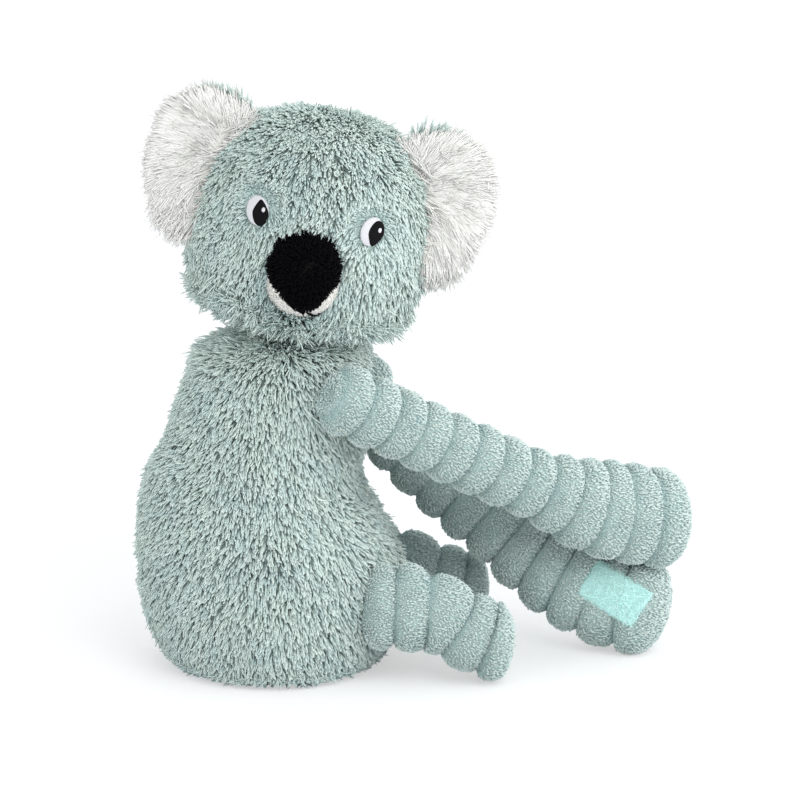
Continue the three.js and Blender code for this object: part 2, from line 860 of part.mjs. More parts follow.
function addHead() {
  const turned = new THREE.Group();
  turned.position.copy(neckMiddle);
  turned.rotation.z = headTurn;
  const tilted = new THREE.Group();
  tilted.rotation.y = headTilt;
  const head = new THREE.Group();
  head.rotation.x = headNod;
  turned.add(tilted);
  tilted.add(head);
  koala.add(turned);
  const neckCup = ball(neckBallRadius + sewnGap, origin);
  addPiece(head, 'head_cover', cut(headForm(0), headForm(plushCloth), neckCup), plushFinish);
  addPiece(head, 'head_filling', cut(headForm(plushCloth + stuffingGap), neckCup), fibreFinish);
  addMuzzle(head);
  for (const [name, hand] of [['left', 1], ['right', -1]]) {
    addEye(head, name, hand);
    addEar(head, name, hand);
  }
}

// Palm plate laid flat into the ribs of a hand
function palmPlate(limb, length, width, thickness, sink) {
  const { middle, forward, palm } = rolledFrame(limb, patchMiddle);
  forward.applyAxisAngle(palm, limb.inwards * patchTurn);
  const side = new THREE.Vector3().crossVectors(palm, forward);
  const outline = new THREE.Shape();
  const [x, y] = [length / 2, width / 2];
  const corners = [[x, y, 0], [-x, y, 1], [-x, -y, 2], [x, -y, 3]];
  for (const [cx, cy, quarter] of corners) {
    const centre = [cx - Math.sign(cx) * patchCorner, cy - Math.sign(cy) * patchCorner];
    const start = (quarter * Math.PI) / 2;
    outline.absarc(...centre, patchCorner, start, start + Math.PI / 2, false);
  }
  const geometry = new THREE.ExtrudeGeometry(outline, {
    depth: thickness, bevelEnabled: false, curveSegments: patchCornerSteps,
  });
  const reach = handRadius * handThickShare - sink;
  const place = middle.clone().addScaledVector(palm, reach);
  geometry.applyMatrix4(new THREE.Matrix4().makeBasis(forward, side, palm).setPosition(place));
  return windOut(geometry);
}

function addArm(name, limb, patchName, patchFinish) {
  const arm = new THREE.Group();
  arm.position.copy(limb.root);
  const stretches = [
    ['upper_arm', null, elbowGroove],
    ['forearm', elbowGroove, wristGroove],
    ['hand', wristGroove, null],
  ];
  const sink = ribDepth;
  for (const [part, from, to] of stretches) {
    let cover = sleeve(limb, from, to);
    if (part === 'hand') {
      const pocket = palmPlate(
        limb, patchLength + 2 * patchMargin, patchWidth + 2 * patchMargin, overrun, sink,
      );
      cover = cut(cover, pocket);
    }
    addPiece(arm, `${name}_${part}`, cover, ribFinish);
    addPiece(arm, `${name}_${part}_filling`, stuffing(limb, from, to), fibreFinish);
  }
  const plate = palmPlate(limb, patchLength, patchWidth, patchThickness, sink - sewnGap);
  addPiece(arm, patchName, plate, patchFinish);
  addPiece(arm, `${name}_shoulder_seam`, seamDisc(limb), threadFinish);
  koala.add(arm);
}

function addLeg(name, limb) {
  const leg = new THREE.Group();
  leg.position.copy(limb.root);
  addPiece(leg, `${name}_leg`, sleeve(limb, null, null), ribFinish);
  addPiece(leg, `${name}_leg_filling`, stuffing(limb, null, null), fibreFinish);
  addPiece(leg, `${name}_hip_seam`, seamDisc(limb), threadFinish);
  koala.add(leg);
}

addTorso();
addNeck();
addHead();
addArm('right', limbs.right_arm, 'hook_patch', threadFinish);
addArm('left', limbs.left_arm, 'loop_patch', loopFinish);
addLeg('right', limbs.right_leg);
addLeg('left', limbs.left_leg);

export default koala;
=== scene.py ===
"""Plush koala sitting with its long arms held out, dressed for its picture.

Sizes below are millimetres on the toy: the body faces -Y, its own left is +X,
and the middle of the flat seat is the origin. Meshes are written in metres.
"""
import math
from bisect import bisect_right

import bmesh
import bpy
from mathutils import Matrix, Vector, noise


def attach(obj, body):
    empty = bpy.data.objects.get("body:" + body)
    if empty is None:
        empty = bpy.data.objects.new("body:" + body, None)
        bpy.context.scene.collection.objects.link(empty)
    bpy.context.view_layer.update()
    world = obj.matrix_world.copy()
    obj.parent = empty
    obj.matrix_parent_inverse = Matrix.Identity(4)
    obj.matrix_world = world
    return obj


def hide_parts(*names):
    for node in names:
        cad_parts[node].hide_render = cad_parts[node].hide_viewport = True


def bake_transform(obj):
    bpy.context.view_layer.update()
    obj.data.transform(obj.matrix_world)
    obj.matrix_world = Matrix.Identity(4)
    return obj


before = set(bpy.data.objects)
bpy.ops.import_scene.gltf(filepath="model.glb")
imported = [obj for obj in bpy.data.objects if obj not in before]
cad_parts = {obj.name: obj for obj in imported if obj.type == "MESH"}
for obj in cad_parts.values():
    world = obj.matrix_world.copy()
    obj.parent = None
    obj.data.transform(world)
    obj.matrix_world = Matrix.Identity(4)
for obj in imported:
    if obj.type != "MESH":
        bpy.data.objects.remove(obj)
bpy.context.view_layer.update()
MM = 0.001
UP = Vector((0, 0, 1))
# The toy's own left is on the side of +X.
HANDS = ("left", 1), ("right", -1)


def new_object(name, data):
    made = bpy.data.objects.new(name, data)
    bpy.context.scene.collection.objects.link(made)
    return made


def dress(pieces, body, replaced=()):
    """Let pieces ride on a body, and hide the nodes that they replace."""
    for piece in pieces:
        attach(piece, body)
    if replaced:
        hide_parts(*replaced)


# Camera
PICTURE_PIXELS, PIXEL_SIZE = 800, 0.445
PICTURE_WIDTH = PICTURE_PIXELS * PIXEL_SIZE
PICTURE_TURN, PICTURE_LIFT = math.radians(-97), math.radians(16.5)
PICTURE_MIDDLE = Vector((-6.8, -55.2, 120.6))
LENS_DISTANCE, SENSOR_WIDTH, FARTHEST_SEEN = 4000, 36, 50000


def look_from(turn, lift):
    """The way from the toy to an eye turned round it and lifted."""
    return Vector((math.sin(turn) * math.cos(lift), -math.cos(turn) * math.cos(lift), math.sin(lift)))


def add_camera():
    eye = bpy.data.cameras.new("camera")
    eye.sensor_width = SENSOR_WIDTH
    eye.lens = SENSOR_WIDTH * LENS_DISTANCE / PICTURE_WIDTH
    eye.clip_end = FARTHEST_SEEN * MM
    holder = new_object("camera", eye)
    holder.location = (PICTURE_MIDDLE + look_from(PICTURE_TURN, PICTURE_LIFT) * LENS_DISTANCE) * MM
    holder.rotation_euler = (math.pi / 2 - PICTURE_LIFT, 0, PICTURE_TURN)
    bpy.context.scene.camera = holder


add_camera()


# Forms of the toy
def ease(low, high, value):
    """0 below low, 1 above high, and a smooth rise between them."""
    share = min(max((value - low) / (high - low), 0), 1)
    return share * share * (3 - 2 * share)


class Course:
    """A smooth line through points, measured along its length."""

    STEPS = 24
    HEADING_STEP = 0.004

    def __init__(self, points):
        points = [Vector(p) for p in points]
        points = [2 * points[0] - points[1], *points, 2 * points[-1] - points[-2]]
        self.spots = [points[1]]
        for a, b, c, d in zip(points, points[1:], points[2:], points[3:]):
            before, span, after = [max((q - p).length, 1e-6) ** 0.5 for p, q in ((a, b), (b, c), (c, d))]
            leave = ((b - a) / before - (c - a) / (before + span) + (c - b) / span) * span
            arrive = ((c - b) / span - (d - b) / (span + after) + (d - c) / after) * span
            for k in range(1, self.STEPS + 1):
                t = k / self.STEPS
                self.spots.append(
                    b * (2 * t**3 - 3 * t**2 + 1) + leave * (t**3 - 2 * t**2 + t)
                    + c * (3 * t**2 - 2 * t**3) + arrive * (t**3 - t**2)
                )
        self.marks = [0.0]
        for p, q in zip(self.spots, self.spots[1:]):
            self.marks.append(self.marks[-1] + (q - p).length)

    def at(self, share):
        reach = min(max(share, 0), 1) * self.marks[-1]
        k = min(max(bisect_right(self.marks, reach) - 1, 0), len(self.spots) - 2)
        step = max(self.marks[k + 1] - self.marks[k], 1e-9)
        return self.spots[k].lerp(self.spots[k + 1], (reach - self.marks[k]) / step)

    def heading(self, share):
        return (self.at(share + self.HEADING_STEP) - self.at(share - self.HEADING_STEP)).normalized()


SKIN_DEPTH = 1
TORSO_HEIGHT, TORSO_HALF_WIDTH, TORSO_HALF_DEPTH = 152, 54, 58
SEAT_FLAT, SEAT_BACK, SEAT_CROWN = 40, 0.6, 0.2
SEAT_PANEL_HALF_WIDTH, SEAT_PANEL_HALF_DEPTH = 39.7, 39.5
# Height, half width, half depth and shift to the back of each round of the torso.
TORSO_SHARES = [
    (0.04, 0.9, 0.835, 0.01), (0.12, 0.975, 0.93, 0.02), (0.21, 1, 0.995, 0.02),
    (0.3, 1, 1, 0.035), (0.395, 0.95, 0.95, 0.095), (0.487, 0.87, 0.865, 0.145),
    (0.6, 0.815, 0.79, 0.155), (0.67, 0.78, 0.76, 0.086), (0.763, 0.74, 0.71, 0.035),
    (0.855, 0.7, 0.67, 0), (0.928, 0.645, 0.61, -0.05), (0.974, 0.51, 0.48, -0.09),
    (0.995, 0.3, 0.28, -0.12), (1, 0, 0, -0.12),
]
TORSO_COURSE = Course(
    [(0, 0, 0, SEAT_BACK), (24, 24, 0, SEAT_BACK), (SEAT_FLAT, SEAT_FLAT, SEAT_CROWN, SEAT_BACK)]
    + [(w * TORSO_HALF_WIDTH, d * TORSO_HALF_DEPTH, h * TORSO_HEIGHT, b * TORSO_HALF_DEPTH)
       for h, w, d, b in TORSO_SHARES]
)

NECK = Vector((0, -7, 154.5))
NECK_BARE = 14.2
HEAD_MIDDLE = 50.5
HEAD_HALF_HEIGHT = 48
HEAD_HALF = Vector((52, 46, HEAD_HALF_HEIGHT))
# Height and half width of each round of the head.
HEAD_SHARES = [
    (-1, 0), (-0.93, 0.58), (-0.83, 0.79), (-0.7, 0.895), (-0.576, 0.945), (-0.4, 0.985),
    (-0.12, 1), (0.1, 0.985), (0.31, 0.94), (0.525, 0.855), (0.69, 0.745), (0.82, 0.62),
    (0.93, 0.4), (1, 0),
]
HEAD_COURSE = Course([(w * HEAD_HALF_HEIGHT, h * HEAD_HALF_HEIGHT) for h, w in HEAD_SHARES])
HEAD_YAW, HEAD_ROLL, HEAD_PITCH = math.radians(-97), math.radians(11), math.radians(-5)
HEAD_TURN = (
    Matrix.Rotation(HEAD_YAW, 4, "Z")
    @ Matrix.Rotation(HEAD_ROLL, 4, "Y")
    @ Matrix.Rotation(HEAD_PITCH, 4, "X")
)
HEAD_PLACE = Matrix.Translation(NECK) @ HEAD_TURN @ Matrix.Translation((0, 0, HEAD_MIDDLE))
HEAD_BACK = HEAD_PLACE.inverted()
GIRTH_HALVINGS = 24


def head_girth(height):
    """Half width of the head, as a share, at a height above its middle, found by halving."""
    low, high = 0.0, 1.0
    for _ in range(GIRTH_HALVINGS):
        middle = (low + high) / 2
        if HEAD_COURSE.at(middle)[1] < height:
            low = middle
        else:
            high = middle
    return HEAD_COURSE.at(low)[0] / HEAD_HALF_HEIGHT


def head_front(side, height, lift):
    """A spot on the face, given across and up from the head's middle."""
    girth = head_girth(height)
    inside = 1 - (side / (girth * HEAD_HALF.x)) ** 2
    depth = girth * HEAD_HALF.y * math.sqrt(max(inside, 0))
    spot = Vector((side, -depth, height))
    out = Vector((side / HEAD_HALF.x**2, -depth / HEAD_HALF.y**2, height / HEAD_HALF.z**2))
    return spot + out.normalized() * lift


RIB_DEPTH, RIB_UNEVENNESS, RIB_SQUARENESS, RIB_FULLNESS = 4.6, 0.022, 2.1, 0.55


class Limb:
    """A ribbed tube along a course, with a round root and a round tip.

    Each bend gives the share of the length and of the drop up to it, and its heading in degrees.
    The palm end is broader than the root, rolled about the limb, and thick times as thick as broad.
    """

    SAMPLES = 160
    SWELL_SHARES = 0.53, 0.8

    def __init__(self, name, root, bends, length, end_height, radius, end_radius, thick,
                 roll, first, tip, ribs, cap, seed):
        self.name, self.length, self.radius, self.end_radius = name, length, radius, end_radius
        self.thick, self.roll, self.first, self.ribs = thick, roll, first, ribs
        self.cap, self.seed = cap, seed
        self.pitch = (length - first - tip) / ribs
        self.inwards = -math.copysign(1, root[0])
        self.root = Vector((root[0], -root[1], root[2]))
        drop = root[2] - end_height
        spot = self.root.copy()
        points = [spot.copy()]
        for run_share, fall_share, heading in bends:
            run, fall = run_share * length, fall_share * drop
            level = math.sqrt(max(run * run - fall * fall, 0))
            heading = math.radians(heading)
            spot += Vector((self.inwards * level * math.sin(heading), -level * math.cos(heading), -fall))
            points.append(spot.copy())
        self.course = Course(points)
        before = round(self.SAMPLES * radius / length)
        places = [length * k / self.SAMPLES for k in range(-before, self.SAMPLES + 1)]
        self.samples = [(self.frame(along), along) for along in places]

    def swell(self, along):
        return ease(*self.SWELL_SHARES, along / self.length)

    def frame(self, along):
        """The middle of the limb there, the way along it, out of its palm and across its palm."""
        share = min(max(along / self.length, 0), 1)
        forward = self.course.heading(share)
        middle = self.course.at(share) + forward * (along - share * self.length)
        across = Vector((-forward.y, forward.x, 0)).normalized()
        upwards = forward.cross(across)
        if upwards.z < 0:
            upwards.negate()
        if across.x * self.inwards < 0:
            across.negate()
        roll = self.roll * self.swell(along)
        palm = across * math.cos(roll) + upwards * math.sin(roll)
        broad = upwards * math.cos(roll) - across * math.sin(roll)
        return middle, forward, palm, broad

    def groove(self, k):
        return self.first + k * self.pitch

    def crest(self, along):
        return self.radius + (self.end_radius - self.radius) * self.swell(along)

    def from_seam(self, along):
        """How far a place is from the nearest seam, in ribs."""
        phase = ((along - self.first) / self.pitch) % 1
        return min(phase, 1 - phase)

    def ribbed(self, along):
        """Radius of the cloth: full ribs with tight seams between them."""
        rib = (along - self.first) / self.pitch
        crest = self.crest(along)
        depth = RIB_DEPTH
        lip = self.groove(self.ribs)
        if along < 0:
            crest *= max(1 - abs(along / self.cap) ** 3, 0) ** (1 / 3)
            depth *= crest / self.radius
        if along < lip:
            phase = rib % 1
            crest *= 1 + RIB_UNEVENNESS * noise.noise(Vector((math.floor(rib) * 3.7, self.seed, 0)))
        else:
            swell_end = lip + (self.length - lip) / 3
            if along > swell_end:
                rise = (along - swell_end) / (self.length - swell_end)
                return crest * math.sqrt(max(1 - rise * rise, 0))
            phase = 0.5 * (along - lip) / (swell_end - lip)
        bump = (1 - abs(2 * phase - 1) ** RIB_SQUARENESS) ** RIB_FULLNESS
        return crest - depth * (1 - bump)

    def nearest(self, spot):
        return min(self.samples, key=lambda s: (s[0][0] - spot).length_squared)


ARM = dict(radius=15.2, end_radius=22.2, thick=0.74, first=5, tip=20, ribs=11, cap=12)
LEG = dict(radius=16.9, end_radius=16.9, thick=1, roll=0, first=-2, tip=12, ribs=3, cap=16.9)
ELBOW, WRIST, FOREARM_MIDDLE = 5, 9, 7.5
LIMBS = {
    "right_arm": Limb("right_arm", (-41.8, 28.5, 131), [
        (0.35, 0.405, 12), (0.35, 0.388, 14), (0.15, 0.112, 17), (0.15, 0.095, 20),
    ], 178, 57.5, roll=math.radians(-30), seed=1.3, **ARM),
    "left_arm": Limb("left_arm", (42, 35.4, 124), [
        (0.242, 0.345, 20), (0.155, 0.186, 20), (0.151, 0.172, 21), (0.105, 0.11, 21),
        (0.15, 0.115, 22), (0.074, 0.042, 23), (0.123, 0.03, 24),
    ], 189, 19.4, roll=math.radians(30), seed=5.1, **ARM),
    "right_leg": Limb("right_leg", (-40, 50.5, 32), [
        (0.3, 0.06, -5), (0.25, 0.44, -5), (0.25, 0.4, -5), (0.2, 0.1, -5),
    ], 54, 17.05, seed=8.2, **LEG),
    "left_leg": Limb("left_leg", (40, 47.5, 27), [
        (0.3, 0.06, 5), (0.25, 0.44, 5), (0.25, 0.4, 5), (0.2, 0.1, 5),
    ], 54, 17.05, seed=11.9, **LEG),
}
PATCH_LENGTH, PATCH_WIDTH, PATCH_MIDDLE = 30, 18.5, 166
PATCH_SINK = 2.25
PATCH_REACH = ARM["end_radius"] * ARM["thick"] - PATCH_SINK
PATCH_TURN = math.radians(14)


# Mesh helpers
MERGE_DISTANCE = 2e-7


def mesh_object(name, bm, material, smooth=True):
    mesh = bpy.data.meshes.new(name)
    bm.to_mesh(mesh)
    bm.free()
    if smooth:
        mesh.shade_smooth()
    mesh.materials.append(material)
    return new_object(name, mesh)


def rolled(name, sides, rows, place, material):
    """A sheet rolled up and closed at its two ends; place gives a spot for turn and row, 0 to 1."""
    bm = bmesh.new()
    bmesh.ops.create_grid(bm, x_segments=sides, y_segments=rows, size=0.5)
    for v in bm.verts:
        v.co = place(v.co.x + 0.5, v.co.y + 0.5) * MM
    bmesh.ops.remove_doubles(bm, verts=bm.verts, dist=MERGE_DISTANCE)
    bmesh.ops.recalc_face_normals(bm, faces=bm.faces)
    return mesh_object(name, bm, material)


def lumps(spot, size, height):
    """Soft unevenness of a stuffed form, size across and up to height high."""
    return noise.noise(spot / size) * height


# Nodes
def node(tree, kind, feed=None, **settings):
    """A node; feed gives its inputs by name or place, as another output or a value."""
    made = tree.nodes.new(kind)
    for setting, value in settings.items():
        setattr(made, setting, value)
    for key, value in (feed or {}).items():
        if isinstance(key, int):
            socket = made.inputs[key]
        else:
            socket = next(s for s in made.inputs if s.name == key and s.enabled)
        if isinstance(value, bpy.types.NodeSocket):
            tree.links.new(value, socket)
        else:
            socket.default_value = value
    return made


def out(made, name=None):
    return next(s for s in made.outputs if s.enabled and (name is None or s.name == name))


def arithmetic(tree, operation, *values):
    return out(node(tree, "ShaderNodeMath", dict(enumerate(values)), operation=operation))


def vectors(tree, operation, *values):
    return out(node(tree, "ShaderNodeVectorMath", dict(enumerate(values)), operation=operation))


def scaled(tree, vector, share):
    return out(node(tree, "ShaderNodeVectorMath", {0: vector, "Scale": share}, operation="SCALE"))


def srgb(red, green, blue):
    def straight(value):
        value /= 255
        return value / 12.92 if value <= 0.04045 else ((value + 0.055) / 1.055) ** 2.4
    return straight(red), straight(green), straight(blue), 1


def ramp(tree, factor, *stops):
    made = node(tree, "ShaderNodeValToRGB", {"Fac": factor})
    band = made.color_ramp.elements
    while len(band) < len(stops):
        band.new(0.5)
    for stop, (place, colour) in zip(band, stops):
        stop.position, stop.color = place, colour
    return out(made, "Color")


def blank_material(name, rough, sheen, specular):
    made = bpy.data.materials.new(name)
    made.use_nodes = True
    shader = made.node_tree.nodes["Principled BSDF"]
    shader.inputs["Roughness"].default_value = rough
    shader.inputs["Specular IOR Level"].default_value = specular
    shader.inputs["Sheen Weight"].default_value = sheen
    shader.inputs["Sheen Roughness"].default_value = 0.5
    return made, made.node_tree, shader


def seen_directly(tree):
    """1 for rays of the camera, of gloss and of glass, which see the plain backdrop."""
    path = node(tree, "ShaderNodeLightPath")
    return arithmetic(
        tree, "MAXIMUM", path.outputs["Is Camera Ray"],
        arithmetic(tree, "MAXIMUM", path.outputs["Is Glossy Ray"], path.outputs["Is Transmission Ray"]),
    )


def pile_material(name, root, middle, tip, dark, light, sheen=0.12):
    """Tuft colour from its own strip: along the tuft, darker at the root, partly as painted shade deep in
    the pile and partly as the fur's own lighter tips; and a tint for each tuft.
    """
    made, tree, shader = blank_material(name, 0.85, sheen, 0.05)
    strip = out(node(tree, "ShaderNodeUVMap", uv_map="OFBake"))
    parts = node(tree, "ShaderNodeSeparateXYZ", {0: strip})
    along = ramp(tree, parts.outputs[1], (0, srgb(*root)), (0.45, srgb(*middle)), (0.95, srgb(*tip)))
    tint = ramp(tree, parts.outputs[0], (0, (*dark, 1)), (0.5, (1, 1, 1, 1)), (1, (*light, 1)))
    mixed = node(tree, "ShaderNodeMix", {"Factor": 1.0}, data_type="RGBA", blend_type="MULTIPLY")
    tree.links.new(along, mixed.inputs[6])
    tree.links.new(tint, mixed.inputs[7])
    tree.links.new(mixed.outputs[2], shader.inputs["Base Color"])
    return made


def cloth_material(name, ground, raised, size, bump, rough=0.9, sheen=0.2):
    """Knitted backing: a fine noise in colour and height."""
    made, tree, shader = blank_material(name, rough, sheen, 0.15)
    place = out(node(tree, "ShaderNodeTexCoord"), "Object")
    grain = node(tree, "ShaderNodeTexNoise", {"Vector": place, "Scale": 1000 / size, "Detail": 3.0})
    tree.links.new(
        ramp(tree, out(grain), (0.3, srgb(*ground)), (0.7, srgb(*raised))), shader.inputs["Base Color"]
    )
    raise_it = node(tree, "ShaderNodeBump", {
        "Height": out(grain), "Strength": bump, "Distance": 0.3 * MM,
    })
    tree.links.new(out(raise_it), shader.inputs["Normal"])
    return made


# The bluish dark end of a tint serves the tufts' own random tone and also the painted shade laid on through
# the shade attribute.
TEAL_TINTS = (0.74, 0.83, 0.87), (1.04, 1.04, 1.02)
TEAL_PILE = pile_material("teal_pile", (168, 186, 180), (194, 209, 203), (214, 226, 220), *TEAL_TINTS)
# The under pile is a little darker than the locks above it: painted shade deep in the coat.
TEAL_UNDER = pile_material(
    "teal_under_pile", (160, 178, 173), (186, 202, 197), (200, 214, 209), *TEAL_TINTS
)
# The rib pile's deeper dark tint carries the painted shade in the seams between the ribs.
RIB_PILE = pile_material(
    "rib_pile", (168, 187, 184), (199, 214, 210), (212, 224, 220), (0.62, 0.74, 0.78), (1.03, 1.03, 1.01)
)
WHITE_PILE = pile_material(
    "white_pile", (226, 224, 219), (230, 228, 224), (234, 232, 229),
    (0.96, 0.962, 0.965), (1.01, 1.01, 1.01),
)
NOSE_PILE = pile_material(
    "nose_pile", (2, 2, 3), (5, 4, 6), (13, 11, 15), (0.6, 0.6, 0.6), (1.3, 1.3, 1.3), sheen=0
)
LOOP_PILE = pile_material(
    "loop_pile", (170, 224, 219), (204, 242, 238), (224, 250, 247), (0.84, 0.93, 0.94), (1.03, 1.02, 1.02)
)
HOOK_PILE = pile_material(
    "hook_pile", (160, 180, 175), (190, 206, 201), (208, 221, 217), (0.8, 0.86, 0.86), (1.03, 1.03, 1.03)
)
TEAL_CLOTH = cloth_material("teal_cloth", (152, 171, 166), (174, 192, 187), 0.8, 0.4)
RIB_CLOTH = cloth_material("rib_cloth", (146, 167, 165), (176, 195, 191), 0.7, 0.4)
WHITE_CLOTH = cloth_material("white_cloth", (226, 224, 219), (234, 232, 228), 0.8, 0.4)
MUZZLE_CLOTH = cloth_material("muzzle_fleece", (222, 217, 210), (246, 243, 238), 0.6, 0.5)
NOSE_CLOTH = cloth_material("nose_cloth", (2, 2, 3), (7, 6, 8), 0.8, 0.4, sheen=0)
SEAT_CLOTH = cloth_material("seat_cloth", (140, 158, 154), (166, 184, 179), 0.9, 0.5)
BLACK_STITCH = cloth_material("dark_stitches", (2, 1, 3), (7, 6, 9), 0.35, 0.6, rough=0.8, sheen=0)
WHITE_STITCH = cloth_material("white_stitches", (190, 189, 194), (208, 207, 211), 0.35, 0.6, rough=0.6)
SEAM_THREAD = cloth_material("seam_thread", (128, 148, 146), (158, 178, 174), 0.4, 0.6)
LOOP_TAPE = cloth_material("loop_tape", (178, 226, 221), (206, 240, 236), 0.7, 0.6)
HOOK_TAPE = cloth_material("hook_tape", (148, 168, 163), (172, 190, 185), 0.7, 0.5)


# Pile
TUFT_BLUNTNESS, TUFT_ROOT_SHARE, TUFT_FULL_SHARE = 6, 0.6, 0.35
LENGTH_SPREAD, GIRTH_SPREAD = (0.75, 1.2), (0.75, 1.25)
TINT_CLOUD_SIZE, FLOOR_GAP = 14, 0.25


def tuft(name, length, radius, bend, cuts, flat, material):
    """One tuft: three-sided, fuller above its root, blunt at the end and bent over."""
    bm = bmesh.new()
    bmesh.ops.create_cone(
        bm, cap_ends=True, segments=3, radius1=1, radius2=0, depth=1,
        matrix=Matrix.Translation((0, 0, 0.5)),
    )
    bmesh.ops.remove_doubles(bm, verts=bm.verts, dist=1e-5)
    for height in cuts:
        bmesh.ops.bisect_plane(
            bm, geom=[*bm.verts, *bm.edges, *bm.faces], dist=1e-6,
            plane_co=(0, 0, height), plane_no=(0, 0, 1),
        )
    along = bm.verts.layers.float.new("along")
    side = bm.verts.layers.float.new("side")
    for v in bm.verts:
        t = v.co.z
        v[along] = t
        v[side] = (math.atan2(v.co.y, v.co.x) / math.tau) % 1 if t < 0.999 else 0.5
        swollen = TUFT_ROOT_SHARE + (1 - TUFT_ROOT_SHARE) * ease(0, TUFT_FULL_SHARE, t)
        width = swollen * math.sqrt(max(1 - t**TUFT_BLUNTNESS, 0))
        spread = width / (1 - t) if t < 0.999 else 0
        v.co = Vector((
            v.co.x * spread * radius * flat - bend * t * t, v.co.y * spread * radius, t * length,
        )) * MM
    bmesh.ops.recalc_face_normals(bm, faces=bm.faces)
    return mesh_object(name, bm, material)


